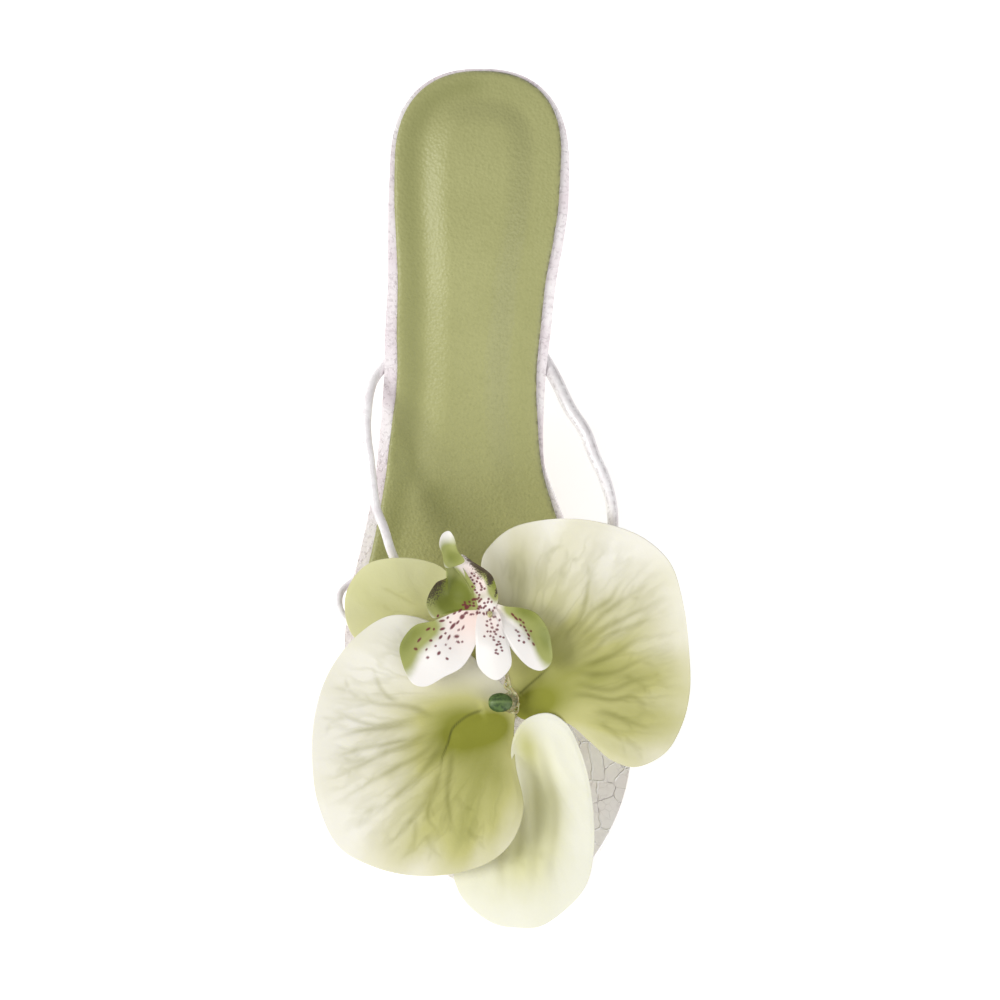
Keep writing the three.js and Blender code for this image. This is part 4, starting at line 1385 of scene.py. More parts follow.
MEDIAL_VEINS: tuple[Line, ...] = (
    ((139, -135), (153, -171), (184, -211), (202, -251), (211, -305), (228, -345), (255, -392)),
    ((148, -144), (188, -193), (228, -238), (268, -264), (290, -300), (317, -327), (348, -336)),
    ((161, -148), (210, -188), (255, -229), (299, -260), (343, -287), (388, -316)),
    ((175, -130), (228, -171), (268, -197), (312, -220), (369, -244), (414, -269)),
    ((183, -108), (228, -135), (263, -168), (307, -188), (360, -206), (422, -215)),
    ((188, -93), (241, -106), (289, -128), (325, -153), (365, -171)),
    ((166, -77), (227, -70), (285, -77), (333, -99), (382, -117), (435, -130)),
    ((166, -55), (218, -37), (276, -30), (324, -50), (386, -59), (443, -59)),
    ((148, -19), (210, -17), (271, -2), (324, -10), (368, 12), (421, 16)),
    ((298, -70), (338, -50), (381, -24)),
    ((209, 25), (267, 34), (324, 56), (385, 78)),
    ((236, 52), (280, 87), (323, 131)),
    ((297, 100), (323, 114), (354, 145)),
    ((113, -354), (105, -376), (118, -399)),
    ((140, -314), (149, -349), (167, -372), (189, -394)),
)
MEDIAL_CREASES: tuple[Line, ...] = (
    ((27, -21), (60, -50), (95, -79), (122, -101)),
)
FRONT_PLEATS: tuple[Line, ...] = (
    ((53, 63), (55, 118), (67, 185), (71, 244), (73, 303), (74, 382), (72, 450), (70, 510)),
    ((87, 86), (102, 165), (118, 225), (126, 264), (124, 340), (118, 400), (114, 480)),
    ((20, 250), (27, 300), (28, 343), (26, 400), (24, 460)),
    ((-40, 330), (-24, 400), (-16, 441), (-8, 500)),
)
FRONT_RIDGES: tuple[Line, ...] = (
    ((106, 59), (126, 138), (157, 209), (169, 272)),
    ((47, 382), (49, 429), (51, 484)),
    ((94, 382), (96, 429), (95, 484)),
)
LATERAL_SEPAL_VEINS: tuple[Line, ...] = (
    ((-329, -262), (-308, -245), (-293, -236)),
    ((-341, -305), (-320, -300), (-295, -288), (-270, -275), (-249, -264), (-224, -254)),
    ((-253, -232), (-228, -228), (-207, -220)),
)
# Spots of the lip: place across and along from the lip's heart, half length, half width, all in thousandths of
# the lip's span, and slant in degrees
LIP_SPOTS: tuple[Row, ...] = (
    (-428, 206, 17, 7, -50), (-354, 212, 10, 8, 0), (-450, 263, 12, 8, 20), (-382, 269, 9, 6, -60),
    (-374, 320, 10, 8, 0), (-303, 294, 13, 9, -50), (-251, 328, 10, 7, 30), (-324, 248, 6, 5, 0),
    (-260, 240, 6, 5, 0), (-233, 263, 5, 4, 0), (-292, 191, 14, 8, -50), (-240, 191, 17, 7, -65),
    (-191, 185, 15, 10, 0), (-182, 221, 13, 7, 20), (-156, 220, 5, 4, 0), (-371, 140, 15, 7, -30),
    (-335, 141, 8, 5, -70), (-281, 139, 16, 8, -20), (-215, 120, 23, 9, -50), (-177, 143, 6, 5, 0),
    (-150, 129, 15, 6, -60), (-156, 63, 16, 12, -40), (-204, 42, 12, 5, -40), (-247, 70, 9, 5, -50),
    (-284, 90, 17, 7, -10), (-309, 65, 10, 5, -60), (-125, 8, 15, 9, -30), (-168, 26, 15, 7, -40),
    (-134, 40, 14, 7, -40), (-262, 166, 5, 4, 0), (-184, 97, 14, 6, -50), (-100, 47, 8, 5, 0),
    (-83, -3, 10, 6, 0), (-230, 97, 6, 4, 0), (2, 92, 7, 6, 0), (22, 82, 8, 5, -30), (54, 64, 7, 5, 0),
    (81, 85, 8, 6, -40), (0, 119, 9, 6, 30), (34, 133, 9, 7, 0), (65, 146, 10, 7, 0), (48, 160, 9, 7, 0),
    (25, 160, 7, 6, 0), (69, 119, 8, 5, -40), (57, 176, 8, 6, 0), (23, 188, 5, 4, 0), (86, 192, 6, 5, 0),
    (106, 197, 4, 3, 0), (45, 215, 9, 6, 0), (75, 226, 8, 6, 0), (66, 245, 10, 7, -20), (42, 197, 7, 5, 0),
    (84, 240, 7, 5, 0), (97, 281, 6, 5, 0), (59, 279, 9, 5, -20), (70, 302, 7, 5, 0), (57, 297, 7, 6, 0),
    (5, 158, 4, 3, 0), (43, 66, 5, 4, 0), (29, 108, 5, 4, 0), (-15, 190, 3, 3, 0), (91, 261, 3, 3, 0),
    (164, 49, 13, 3, 45), (185, 71, 16, 3, 45), (212, 80, 11, 3, 40), (232, 97, 8, 4, 40),
    (215, 114, 7, 4, 40), (238, 125, 10, 3, 50), (249, 147, 8, 4, 50), (264, 175, 14, 3, 55),
    (280, 150, 7, 5, 0), (296, 233, 12, 4, 55), (266, 199, 8, 3, 50), (185, 147, 7, 5, 0),
    (206, 184, 8, 7, 0), (204, 215, 5, 4, 0), (235, 224, 8, 8, 0), (198, 158, 4, 3, 0),
    (-95, -204, 8, 4, 30), (-79, -190, 5, 4, 0), (-90, -164, 5, 4, 0), (-79, -142, 7, 5, 0),
    (-91, -121, 7, 5, 0), (-63, -155, 5, 4, 40), (-42, -142, 8, 5, 50), (-35, -127, 7, 5, 50),
    (-63, -84, 6, 5, 0), (-35, -101, 8, 6, 0), (-14, -108, 5, 4, 0), (-31, -117, 4, 3, 0),
    (-102, -179, 5, 4, 0), (-57, -175, 5, 3, 40), (-74, -101, 5, 4, 0), (-47, -69, 5, 4, 0),
    (-87, -40, 5, 5, -60), (-138, -12, 6, 5, 0), (-21, 42, 7, 6, 0), (-36, -42, 8, 5, -40),
    (-134, 3, 6, 4, 0), (-35, 8, 7, 5, -60), (-56, 40, 6, 4, -40), (-139, -24, 7, 4, 40),
    (-51, -51, 9, 5, -60), (-83, -19, 7, 5, 0), (24, 42, 8, 4, -60), (-17, 47, 6, 4, -60),
    (-151, -8, 6, 4, 0), (-109, -26, 7, 6, 40), (-139, -9, 8, 5, 40), (30, -27, 7, 5, -40),
    (-106, -5, 8, 4, 0), (-125, 0, 8, 4, -40), (-8, -2, 8, 5, 0), (-58, 34, 9, 5, 40),
    (-70, -45, 5, 4, -40), (-61, -44, 5, 5, 0), (48, 8, 5, 4, 40), (-78, -43, 10, 5, 40),
    (-89, -41, 9, 5, -40), (-45, -34, 7, 5, 0), (7, -25, 8, 4, -60), (-45, 38, 6, 5, -60),
    (-19, 8, 9, 5, -40), (17, 29, 6, 5, -60), (1, 46, 7, 4, -60), (-60, 41, 10, 4, -40),
    (-134, -7, 7, 5, 0), (-53, 12, 9, 4, 0), (39, 25, 7, 4, -60), (-137, 42, 7, 5, 0), (-124, 38, 5, 5, 40),
    (-15, -19, 8, 4, 0), (16, 19, 5, 5, -40), (-63, 34, 6, 4, -60), (3, 37, 9, 5, -40),
    (-42, -1, 5, 4, -40), (-126, 8, 5, 4, 40), (12, -44, 6, 4, 0), (-47, 2, 9, 6, 40), (-86, 45, 6, 4, 40),
    (-47, -30, 10, 6, -40),
)


def turned(spots: np.ndarray, middle: tuple[float, float], degrees: float) -> tuple[np.ndarray, np.ndarray]:
    """Measure spots along and across a turned axis through a middle.

    Args:
        spots: Points in plan, one a row.
        middle: The axis's middle.
        degrees: The axis's turn.

    Returns:
        The distances along the axis and across it.
    """
    angle = math.radians(degrees)
    x, y = spots[:, 0] - middle[0], spots[:, 1] - middle[1]
    return x * math.cos(angle) + y * math.sin(angle), y * math.cos(angle) - x * math.sin(angle)


@dataclass(frozen=True)
class Zone:
    """A soft round patch, in thousandths of the span, stretched along an axis turned by degrees."""

    across: float
    along: float
    reach: float
    strength: float
    stretch: float = 1.0
    turn: float = 0.0

    def read(self, spots: np.ndarray) -> np.ndarray:
        """Strength of the patch at spots in the same thousandths."""
        main, cross = turned(spots, (self.across, self.along), self.turn)
        return self.strength * bell(np.hypot(main / self.stretch, cross), self.reach)


def read_zones(zones: Sequence[Zone], spots: np.ndarray) -> np.ndarray:
    """Add up the strength of soft patches at spots."""
    return sum((zone.read(spots) for zone in zones), np.zeros(len(spots)))


@dataclass(frozen=True)
class Leaf:
    """A petal or sepal: its outline in thousandths of the flower's span, its relief and its veins."""

    node: str
    heart: Row
    outline: tuple[Row, ...]
    greens: tuple[Zone, ...]
    swells: tuple[Zone, ...]
    veins: tuple[Line, ...] = ()
    creases: tuple[Line, ...] = ()
    ridges: tuple[Line, ...] = ()
    vein_width: float = 0.9
    vein_depth: float = 0.24
    crease_width: float = 2.2
    crease_depth: float = 0.9
    # Half width of the painted shade along a crease
    crease_shade_width: float = 0.27
    ridge_width: float = 2.1
    ridge_height: float = 0.4
    fineness: int = 150


@dataclass(frozen=True)
class Lobe:
    """One lobe of the lip: its outline in thousandths of the lip's span, its relief and its colours."""

    name: str
    heart: Row
    outline: tuple[Row, ...]
    greens: tuple[Zone, ...] = ()
    blushes: tuple[Zone, ...] = ()
    burns: tuple[Zone, ...] = ()
    swells: tuple[Zone, ...] = ()
    spotted: bool = True
    fineness: int = 88


@dataclass
class Orchid:
    """The flower on the toe post: sepals, petals, lip, bud, and the glue and wire that hold them."""

    head: np.ndarray
    span: float = 107.0
    lip_span: float = 44.0
    seat: float = 1.8
    fit: float = 0.3
    petal: float = 0.9
    petal_rim: float = 0.5
    lip: float = 1.0
    lip_rim: float = 0.55
    spot_growth: tuple[float, float] = (1.25, 1.2)
    spot_least: tuple[float, float] = (9.0, 7.5)
    bud: Row = (6.4, 5.4, 3.6)
    glue: float = 8.9
    lip_heart: Row = (-55, -238, 165)
    wire: tuple[Row, ...] = (
        (8, -15, 72), (4, -45, 104), (-10, -90, 120), (-30, -160, 134), (-45, -205, 148), (-47, -221, 172),
    )
    strands: tuple[tuple[Row, ...], ...] = (
        ((2.6, -1.4, 0.0), (2.9, 1.0, 0.5), (1.4, 3.0, 1.2), (-0.4, 5.2, 2.6)),
        ((2.4, 1.6, 0.0), (0.6, 2.9, 0.9), (-0.9, 4.2, 1.8), (-0.6, 5.6, 3.0)),
        ((-1.8, -2.1, 0.1), (0.6, -3.1, 0.2), (2.6, -2.9, 0.1), (3.1, -0.6, 0.2)),
    )

    def _stand(self, rows: Sequence[Row]) -> np.ndarray:
        """Turn thousandths of the span into points in millimetres."""
        shares = np.array(rows, float).reshape(-1, 3) / 1000
        return self.head + np.array([0, 0, self.seat]) + shares * np.array([1, -1, 1]) * self.span

    def _stand_lip(self, rows: Sequence[Row]) -> np.ndarray:
        """Turn thousandths of the lip's span into points in millimetres."""
        shares = np.array(rows, float).reshape(-1, 3) / 1000
        return self._stand([self.lip_heart])[0] + shares * np.array([1, -1, 1]) * self.lip_span

    @staticmethod
    def _spots(points: np.ndarray, middle: np.ndarray, span: float) -> np.ndarray:
        """Turn points into places across and along from a middle, in thousandths of a span."""
        return (points[:, :2] - middle[:2]) * np.array([1, -1]) / span * 1000

    @staticmethod
    def _spread(slab: Slab, heart: np.ndarray, outline: np.ndarray,
                thick: float, thin: float) -> tuple[np.ndarray, np.ndarray, np.ndarray]:
        """Spread a slab's grid from a heart to an outline.

        Args:
            slab: The slab.
            heart: The leaf's middle.
            outline: The outline's points.
            thick: Thickness at the heart.
            thin: Thickness near the rim.

        Returns:
            The points, the share from heart to rim, and the drop of the lower skin.
        """
        across, along = to_disc(slab.u, slab.v)
        share = np.clip(np.hypot(across, along), 0, 1)
        angle = np.mod(np.arctan2(along, across), 2 * math.pi) / (2 * math.pi)
        rim = smooth_line(outline, 720, True)
        rim = np.vstack([rim, rim[0]])
        edge = read_line(angle, np.linspace(0, 1, len(rim)), rim)
        points = heart + (edge - heart) * share[:, None]
        points[:, 2] = heart[2] + (edge[:, 2] - heart[2]) * share**2
        depth = thin + (thick - thin) * (1 - ease(0.55, 1.0, share))
        gap = np.linalg.norm((edge - heart)[:, :2], axis=1) * (1 - share)
        roundness = np.sqrt(np.clip(1 - (1 - np.clip(gap / 0.5, 0, 1)) ** 2, 0.02, 1))
        return points, share, depth * roundness

    def _relief(self, leaf: Leaf, points: np.ndarray, share: np.ndarray) -> dict[str, np.ndarray]:
        """Work out a leaf's relief and the shares that its shader reads.

        Args:
            leaf: The leaf.
            points: Its points in millimetres.
            share: Share from its heart to its rim.

        Returns:
            Its lift in millimetres and its shader shares, by name.
        """
        plan = points[:, :2]
        spots = self._spots(points, self.head, self.span)
        lift = read_zones(leaf.swells, spots)
        vein = np.zeros(len(plan))
        dark = np.zeros(len(plan))
        rng = random.Random(SEED)
        for line in leaf.veins:
            for branch, strength, width in self._fork(self._draw(line, 24), rng, leaf.vein_width):
                gap, where = line_distance(plan, branch)
                fade = ease(0, 0.22, where) * (1 - 0.95 * ease(0.5, 1.0, where))
                vein = np.maximum(vein, strength * fade * bell(gap, width * (1.1 - 0.5 * where)))
        lift -= vein * leaf.vein_depth
        for line in leaf.creases:
            gap, where = line_distance(plan, self._draw(line, 30))
            fade = ease(0, 0.08, where) * (1 - ease(0.55, 1.0, where))
            lift -= leaf.crease_depth * fade * bell(gap, leaf.crease_width)
            # Painted shade along the crease, kept in dark
            dark = np.maximum(dark, 0.9 * fade * bell(gap, leaf.crease_shade_width))
        for line in leaf.ridges:
            gap, where = line_distance(plan, self._draw(line, 24))
            fade = ease(0, 0.3, where) * (1 - ease(0.4, 1.0, where))
            lift += leaf.ridge_height * fade * bell(gap, leaf.ridge_width)
        lift *= 1 - ease(0.93, 1.0, share) * 0.4
        heart = self._stand([leaf.heart])[0, :2] - self.head[:2]
        run = plan - self.head[:2]
        turn = np.arctan2(run[:, 1], run[:, 0]) - math.atan2(heart[1], heart[0])
        turn = np.mod(turn + math.pi, 2 * math.pi) - math.pi
        return {
            "lift": lift, "vein": np.clip(vein, 0, 1),
            "green": np.clip(read_zones(leaf.greens, spots), 0, 1.1), "dark": dark,
            "turn": turn / (2 * math.pi), "away": np.linalg.norm(run, axis=1) / self.span, "rim": share,
        }

    def _draw(self, line: Line, count: int) -> np.ndarray:
        """Draw a line of thousandths as a curve in plan, in millimetres."""
        return smooth_line(np.array(line, float) * self.span / 1000 * np.array([1, -1]) + self.head[:2], count)

    @staticmethod
    def _fork(path: np.ndarray, rng: random.Random, width: float) -> list[tuple[np.ndarray, float, float]]:
        """Give a vein its soft side branches.

        Args:
            path: The vein's points.
            rng: Source of the branches' places.
            width: The vein's half width.

        Returns:
            Lines with their strength and half width, the vein first.
        """
        length = float(np.sum(np.linalg.norm(np.diff(path, axis=0), axis=1)))
        lines = [(path, min(1.0, 0.2 + length / 28), width)]
        for _ in range(2):
            i = rng.randrange(9, 19)
            run = path[min(i + 1, 23)] - path[i - 1]
            turn = math.radians(rng.choice([-1, 1]) * rng.uniform(22, 42))
            cos, sin = math.cos(turn), math.sin(turn)
            way = np.array([run[0] * cos - run[1] * sin, run[0] * sin + run[1] * cos])
            way /= max(float(np.linalg.norm(way)), 1e-9)
            reach = rng.uniform(2.5, 5.5)
            steps = np.linspace(0, 1, 6)[:, None]
            bend = np.array([-way[1], way[0]]) * rng.uniform(-0.8, 0.8)
            lines.append((path[i] + way * reach * steps + bend * steps**2, rng.uniform(0.3, 0.5), width * 0.75))
        return lines

    def build_leaf(self, leaf: Leaf, material: bpy.types.Material, slot: str) -> None:
        """Make one petal or sepal.

        Args:
            leaf: Its shape.
            material: Its material.
            slot: The record's material slot.
        """
        slab = Slab(f"{leaf.node}_cloth", leaf.fineness, leaf.fineness)
        heart = self._stand([leaf.heart])[0]
        points, share, drop = self._spread(slab, heart, self._stand(leaf.outline), self.petal, self.petal_rim)
        relief = self._relief(leaf, points, share)
        points[:, 2] += relief.pop("lift") - np.where(slab.under, drop, 0)
        piece = slab.shape(points)
        for name, values in relief.items():
            write_share(piece, name, values)
        smooth(piece)
        dress(piece, material, slot, leaf.node)

    def build_lip(self, lobes: Sequence[Lobe], material: bpy.types.Material) -> None:
        """Make the lip from its lobes.

        Args:
            lobes: The lobes.
            material: The lip's material.
        """
        parts = []
        heart = self._stand([self.lip_heart])[0]
        for lobe in lobes:
            slab = Slab(lobe.name, lobe.fineness, lobe.fineness)
            middle, *outline = self._stand_lip([lobe.heart, *lobe.outline])
            points, share, drop = self._spread(slab, middle, np.array(outline), self.lip, self.lip_rim)
            spots = self._spots(points, heart, self.lip_span)
            swell = read_zones(lobe.swells, spots) * (1 - ease(0.85, 1.0, share))
            points[:, 2] += swell - np.where(slab.under, drop, 0)
            piece = slab.shape(points)
            colours = (("green", lobe.greens, 2), ("blush", lobe.blushes, 1), ("burnt", lobe.burns, 1))
            for name, zones, most in colours:
                write_share(piece, name, np.clip(read_zones(zones, spots), 0, most))
            write_share(piece, "spot", self._mark(spots) if lobe.spotted else np.zeros(len(spots)))
            smooth(piece)
            parts.append(piece)
        piece = join(parts, "spotted_lip")
        dress(piece, material, "lip_cloth", "lip")

    def _mark(self, spots: np.ndarray) -> np.ndarray:
        """Read the lip's spots at places in thousandths of its span."""
        mask = np.zeros(len(spots))
        for across, along, length, width, slant in LIP_SPOTS:
            main, cross = turned(spots, (across, along), slant)
            long = max(length * self.spot_growth[0], self.spot_least[0])
            wide = max(width * self.spot_growth[1], self.spot_least[1])
            mask = np.maximum(mask, 1 - ease(0.65, 1.15, np.hypot(main / long, cross / wide)))
        return mask

    def build_bud(self, material: bpy.types.Material) -> None:
        """Make the bud on the glue: a pointed oval with a ridge along it."""
        tube = Tube("flower_bud", 64, 60)
        length, width, height = self.bud
        end = math.pi * tube.along
        reach = np.sin(end) ** 0.8
        x = -np.cos(end) * length / 2 * (1 + 0.10 * (np.cos(end) > 0) * np.cos(end) ** 4)
        ridge = bell(tube.angle - math.pi / 2, 0.22)
        y = np.cos(tube.angle) * reach * width / 2
        z = np.sin(tube.angle) * reach * height / 2 * (1 + 0.10 * ridge)
        bottom = self.head[2] + self.seat + self.fit + self.glue + self.fit
        sunk = height * 0.32
        middle = np.array([self.head[0] - length * 0.35, self.head[1] - width * 0.1, bottom + sunk])
        z = np.maximum(z, -sunk)
        piece = tube.shape(np.stack([-x, y, z], axis=1) + middle)
        read = read_points(piece) / MM - middle
        write_share(piece, "ridge", bell(read[:, 1], 0.42) * (read[:, 2] > 0))
        smooth(piece, 60)
        dress(piece, material, "bud_plastic", "bud")

    def build_glue(self, material: bpy.types.Material) -> None:
        """Make the blob of glue, its strands and the wire up to the lip."""
        bumps = np.random.default_rng(SEED).uniform(-0.25, 0.25, 12)
        levels = np.linspace(0, 1, len(bumps))

        def swell(share: np.ndarray) -> np.ndarray:
            """Radius of the blob: wide at its foot, narrow at its top and uneven all over."""
            return 4.2 - 1.7 * ease(0.3, 0.75, share) + np.interp(share, levels, bumps)

        def wavy(radius: float, swing: float, turns: float) -> Callable[[np.ndarray], np.ndarray]:
            """Radius that swings about a middle one along a cord."""
            return lambda share: radius + swing * np.cos(share * turns)

        seat = self.head + np.array([0, 0, self.seat])
        blob = seat + np.array([(0, 0, self.fit), (0.2, 0, 4.8), (0.6, 0.1, self.fit + self.glue)])
        parts = [cord_piece("blob", blob, swell, 40, 60, 0.16)]
        parts.append(cord_piece("wire", self._stand(self.wire), wavy(0.62, 0.1, 19), 16, 90, 0.03))
        top = seat + np.array([0, 0, self.fit + self.glue - 0.2])
        for i, strand in enumerate(self.strands):
            line = np.array(strand) + top
            parts.append(cord_piece(f"strand_{i}", line, wavy(0.34, 0.16, 11), 10, 50, 0.05))
        piece = join(parts, "glue_and_wire")
        dress(piece, material, "clear_glue", "flower_stalk")


# The flower's own shapes


LEAVES: tuple[Leaf, ...] = (
    Leaf(
        "petal_lateral", (-240, 100, 68),
        outline=(
            (-165, -181, 109), (-227, -214, 119), (-310, -220, 123), (-397, -166, 119), (-470, -71, 100),
            (-506, 46, 91), (-510, 171, 81), (-493, 274, 63), (-441, 377, 44), (-356, 426, 35), (-251, 451, 35),
            (-141, 447, 44), (-44, 416, 58), (13, 363, 72), (41, 280, 81), (21, 169, 72), (16, 85, 63),
            (14, -8, 64), (-74, -100, 89),
        ),
        # The first patch, the deepest olive at the throat, is partly the petal's own green and partly painted
        # shade
        greens=(
            Zone(-60, 70, 60, 0.4, 1.9, 8), Zone(-20, 50, 42, 0.47), Zone(-75, 120, 90, 0.22, 1.3, 60),
            Zone(-35, 250, 175, 0.42), Zone(-165, 100, 75, 0.17), Zone(-110, 400, 150, 0.24),
            Zone(-190, 60, 150, 0.44), Zone(-220, 300, 170, 0.33), Zone(-95, 15, 75, 0.2),
            Zone(-20, 185, 50, 0.14),
        ),
        swells=(
            Zone(-45, 300, 200, 1.7), Zone(-330, 190, 150, 1.2), Zone(-230, -110, 110, 1.4),
            Zone(-60, 90, 80, -1.3, 2.0, 10),
        ),
        veins=LATERAL_VEINS, creases=LATERAL_CREASES,
    ),
    Leaf(
        "petal_medial", (220, -160, 102),
        outline=(
            (-68, -367, 137), (-37, -413, 147), (13, -449, 156), (102, -468, 165), (191, -467, 175),
            (285, -448, 175), (361, -414, 175), (425, -352, 165), (457, -250, 156), (471, -139, 147),
            (474, -20, 128), (453, 67, 109), (409, 138, 95), (332, 173, 86), (270, 154, 81), (211, 102, 77),
            (156, 56, 69), (98, 50, 62), (24, 34, 58), (-15, -111, 81), (-58, -264, 119),
        ),
        # The last green patch, right of the bud, is painted shade
        greens=(
            Zone(70, -50, 150, 0.66), Zone(270, -110, 180, 0.36), Zone(330, 60, 170, 0.46),
            Zone(90, -260, 150, 0.28), Zone(430, -60, 120, 0.14), Zone(330, -260, 120, 0.1),
            Zone(0, -370, 110, 0.21), Zone(50, 20, 45, 0.6, 1.7, -15),
        ),
        swells=(
            Zone(190, -340, 130, 1.6), Zone(330, -180, 120, 1.0), Zone(330, 60, 110, 1.3),
            Zone(60, -70, 90, -1.3),
        ),
        veins=MEDIAL_VEINS, creases=MEDIAL_CREASES,
    ),
    Leaf(
        "sepal_front", (50, 280, 21),
        outline=(
            (106, 30, 78), (155, 58, 66), (191, 128, 48), (212, 201, 34), (223, 274, 25), (225, 386, 16),
            (203, 477, 7), (141, 545, -3), (82, 581, -7), (30, 584, -7), (-34, 574, -7), (-98, 530, -3),
            (-132, 482, -3), (-143, 400, 0), (-100, 285, 7), (-30, 235, 20), (16, 190, 52), (8, 135, 74),
            (18, 85, 78), (48, 46, 80),
        ),
        greens=(
            Zone(46, 112, 32, 0.5, 1.6, 72), Zone(90, 260, 55, 0.42, 2.4, 78), Zone(40, 390, 62, 0.34, 1.4, 70),
            Zone(-20, 440, 90, 0.2),
        ),
        swells=(
            Zone(120, 120, 100, 1.0), Zone(150, 300, 110, 0.8), Zone(30, 470, 120, 0.5),
            Zone(46, 112, 40, 1.2, 1.7, 72), Zone(105, 270, 60, -0.6, 2.4, 80),
        ),
        veins=FRONT_PLEATS, ridges=FRONT_RIDGES, vein_width=1.7, vein_depth=0.3,
    ),
    Leaf(
        "sepal_lateral", (-250, -200, 46),
        outline=(
            (-410, -183, 44), (-429, -264, 55), (-410, -323, 68), (-363, -366, 85), (-289, -379, 92),
            (-215, -371, 90), (-168, -350, 83), (-87, -221, 56), (-30, -60, 33), (-24, -12, 25),
            (-110, -30, 25), (-205, -66, 25), (-336, -131, 35),
        ),
        greens=(Zone(-40, -130, 170, 0.35), Zone(-280, -240, 400, 0.5)),
        swells=(Zone(-300, -290, 100, 0.8), Zone(-180, -180, 90, 0.5)),
        veins=LATERAL_SEPAL_VEINS, vein_width=0.6, vein_depth=0.12,
    ),
    Leaf(
        "sepal_medial", (260, -230, 82),
        outline=(
            (10, -28, 33), (84, -167, 63), (189, -295, 91), (294, -372, 109), (376, -385, 119),
            (417, -362, 123), (427, -325, 123), (412, -265, 114), (346, -163, 91), (215, -62, 53),
            (90, -10, 35), (30, -8, 33),
        ),
        greens=(Zone(100, -100, 200, 0.5), Zone(420, -350, 120, 0.2)),
        swells=(Zone(330, -300, 90, 0.6),),
    ),
)


LOBES: tuple[Lobe, ...] = (
    Lobe(
        "left_wing", (-320, 270, -50),
        outline=(
            (-20, -10, 0), (-180, 30, 10), (-340, 90, 0), (-460, 120, -20), (-550, 240, -50), (-540, 340, -60),
            (-470, 480, -70), (-390, 500, -70), (-270, 440, -60), (-160, 380, -50), (-80, 260, -30),
            (-40, 130, -10),
        ),
        greens=(
            Zone(-480, 190, 130, 0.75, 1.5, -28), Zone(-530, 330, 95, 0.6, 1.6, 80),
            Zone(-400, 130, 80, 0.55, 1.6, -20),
        ),
        blushes=(Zone(-110, 60, 170, 0.9),),
        swells=(Zone(-300, 280, 110, 1.3), Zone(-470, 200, 60, -0.5)),
    ),
    Lobe(
        "tongue", (40, 260, -10),
        outline=(
            (0, -30, 0), (-60, 60, 0), (-70, 240, -10), (-50, 380, -50), (60, 460, -70), (150, 380, -50),
            (150, 280, -20), (110, 150, -10), (70, 30, 0),
        ),
        blushes=(Zone(0, 0, 120, 0.6), Zone(40, 140, 60, 0.35)),
        swells=(Zone(40, 260, 90, 1.2),),
    ),
    Lobe(
        "right_wing", (270, 200, -40),
        outline=(
            (20, -20, 0), (130, 0, 10), (220, 10, 10), (310, 40, 0), (380, 130, -10), (410, 240, -20),
            (410, 350, -30), (350, 400, -50), (270, 380, -50), (140, 240, -20), (60, 80, 0),
        ),
        greens=(
            Zone(330, 110, 110, 0.9, 2.2, 48), Zone(385, 270, 80, 0.7, 2.0, 80),
            Zone(200, 20, 60, 0.7, 2.0, 10),
        ),
        blushes=(Zone(10, 0, 110, 0.5),),
        swells=(Zone(200, 200, 80, 0.9), Zone(290, 150, 60, -0.6, 2.0, 50)),
    ),
    Lobe(
        "throat_left", (-240, -60, 50),
        outline=(
            (-20, 0, 0), (-180, 30, 10), (-280, 60, 30), (-340, 80, 50), (-380, -10, 100), (-320, -130, 140),
            (-250, -170, 140), (-260, -250, 140), (-200, -280, 120), (-100, -160, 60),
        ),
        greens=(Zone(-240, -80, 170, 1.5), Zone(-180, -20, 120, 0.9)),
        burns=(Zone(-350, -90, 75, 0.75, 1.5, 120), Zone(-300, -160, 40, 0.6)),
        swells=(Zone(-230, -60, 80, -1.4),),
    ),
    Lobe(
        "throat_right", (-40, -170, 80),
        outline=(
            (-40, 20, 0), (-130, -140, 60), (-220, -270, 130), (-160, -310, 150), (-80, -260, 150),
            (0, -210, 140), (40, -170, 110), (70, -30, 20), (30, 20, 0),
        ),
        greens=(
            Zone(45, -130, 44, 1.3, 2.4, -100), Zone(-145, -125, 40, 1.4, 3.4, 58),
            Zone(-20, -220, 45, 0.8, 1.8, 40), Zone(-30, -60, 40, 0.35),
        ),
        blushes=(Zone(-60, -170, 160, 0.7),),
        burns=(
            Zone(-60, -262, 24, 1.3, 4.2, 33), Zone(30, -185, 20, 1.2, 3.0, -76),
            Zone(62, -90, 13, 0.8, 3.5, -78), Zone(-40, -205, 48, 0.55, 1.8, 40),
        ),
        swells=(Zone(-60, -160, 60, -1.6, 1.8, 60),),
    ),
    Lobe(
        "tendril", (-240, -340, 150),
        outline=(
            (-200, -240, 120), (-260, -230, 140), (-280, -310, 160), (-300, -370, 190), (-280, -430, 220),
            (-240, -450, 220), (-210, -420, 200), (-180, -330, 160), (-140, -270, 140),
        ),
        greens=(Zone(-190, -290, 90, 1.1), Zone(-200, -420, 50, 0.3), Zone(-260, -330, 45, 0.45, 2.0, 70)),
        swells=(Zone(-230, -350, 60, 0.4),),
        spotted=False,
    ),
)


# Studio


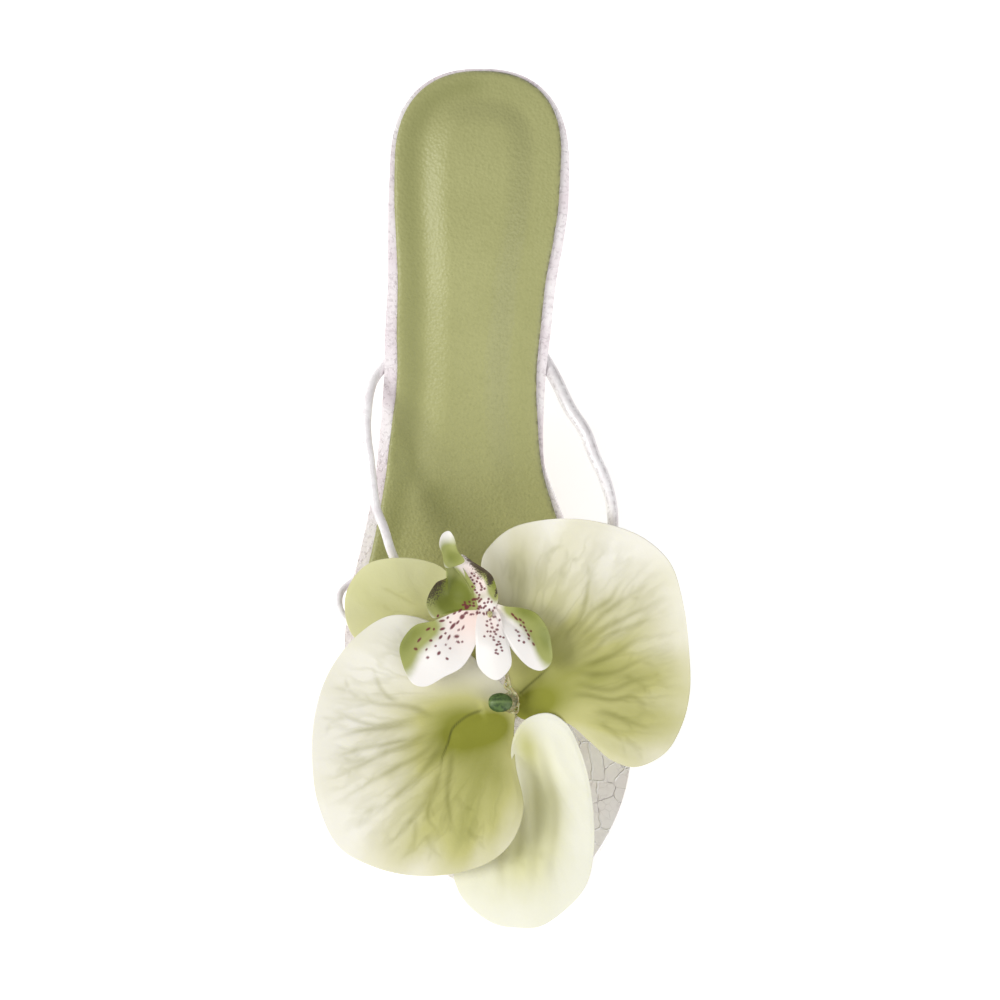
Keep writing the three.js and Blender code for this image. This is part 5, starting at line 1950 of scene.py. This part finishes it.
@dataclass(frozen=True)
class Studio:
    """A pale floor, soft lights, and a long lens high over the toe."""

    target: Row = (6.0, -92.5, 25.0)
    distance: float = 1300.0
    elevation: float = 80.0
    lens: float = 164.7

    def add_floor(self) -> None:
        """Lay the pale floor under the shoe."""
        start_clean()
        bpy.ops.mesh.primitive_grid_add(x_subdivisions=8, y_subdivisions=8, size=8, location=(0, 0, 0))
        floor = bpy.context.object
        floor.name = "studio_floor"
        board = Board("studio_floor")
        spot = board.place()
        clouds = board.noise(spot, 3, 2)
        base = board.mix(clouds * 0.1, tone(236, 236, 236), tone(232, 232, 233))
        floor.data.materials.append(board.finish(
            Base_Color=base, Roughness=0.7, Specular_IOR_Level=0.2,
            Emission_Color=(1.0, 1.0, 1.0, 1.0), Emission_Strength=0.45,
        ))

    def add_camera(self) -> None:
        """Stand the camera where the photograph was taken from."""
        angle = math.radians(self.elevation)
        back = Vector((0, -math.cos(angle), math.sin(angle)))
        data = bpy.data.cameras.new("camera")
        data.lens = self.lens
        data.sensor_width = 36
        data.clip_start, data.clip_end = 0.05, 50
        camera = bpy.data.objects.new("camera", data)
        self._look(camera, Vector(self.target) * MM + back * self.distance * MM)
        bpy.context.scene.camera = camera

    def _look(self, piece: bpy.types.Object, place: Vector) -> None:
        """Stand a camera or a light at a place, looking at the shoe."""
        bpy.context.scene.collection.objects.link(piece)
        piece.location = place
        piece.rotation_euler = (Vector(self.target) * MM - place).to_track_quat("-Z", "Y").to_euler()

    def add_light(self, name: str, place: Row, size: float, power: float, warmth: Row) -> None:
        """Hang a square soft light that looks at the shoe.

        Args:
            name: Its name.
            place: Its place in metres.
            size: Its side in metres.
            power: Its power in watts.
            warmth: Its colour.
        """
        data = bpy.data.lights.new(name, "AREA")
        data.shape, data.size, data.energy, data.color = "SQUARE", size, power, warmth
        self._look(bpy.data.objects.new(name, data), Vector(place))

    def add_lights(self) -> None:
        """Light the shoe from the small toes' side, with a weak fill, in a pale room."""
        self.add_light("key", (-1.294, -0.322, 0.955), 0.75, 16.0, (1.0, 1.0, 0.99))
        self.add_light("fill", (1.0, -1.1, 0.75), 1.3, 9.0, (1.0, 1.0, 1.0))
        world = bpy.data.worlds.new("pale_room")
        world.use_nodes = True
        ground = world.node_tree.nodes["Background"]
        ground.inputs["Color"].default_value = (1.0, 1.0, 1.0, 1.0)
        ground.inputs["Strength"].default_value = 0.56
        bpy.context.scene.world = world
        bpy.context.scene.view_settings.view_transform = "Standard"


def main() -> None:
    """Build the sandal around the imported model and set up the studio."""
    logging.basicConfig(level=logging.INFO, format="%(message)s")
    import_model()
    studio = Studio()
    studio.add_camera()
    last = Last()
    footbed = Footbed(last)
    crackle = CrackleLeather().build()
    footbed.build_board(crackle)
    footbed.build_outsole(SoleLeather().build())
    footbed.build_sock(GreenLeather().build())
    heel = Heel(last)
    heel.build_heel(crackle)
    heel.build_top_piece(HeelRubber().build())
    straps = Straps(last)
    straps.build(StrapLeather().build())
    orchid = Orchid(straps.head())
    petal = PetalCloth(
        "petal_cloth", tone(237, 234, 223), tone(219, 215, 187), tone(190, 187, 122), tone(136, 138, 36),
        tone(176, 176, 130),
    ).build()
    sepal = PetalCloth(
        "sepal_cloth", tone(238, 237, 222), tone(224, 222, 184), tone(203, 202, 136), tone(150, 151, 60),
        tone(196, 194, 150), vein_share=0.3, net_share=0.12, fold_shading_share=0.25,
    ).build()
    cloths = {"petal": petal, "sepal": sepal}
    for leaf in LEAVES:
        kind = leaf.node.split("_")[0]
        orchid.build_leaf(leaf, cloths[kind], f"{kind}_cloth")
    orchid.build_lip(LOBES, LipCloth().build())
    orchid.build_bud(BudPlastic().build())
    orchid.build_glue(ClearGlue().build())
    studio.add_floor()
    studio.add_lights()
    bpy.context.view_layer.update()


if __name__ == "__main__":
    main()
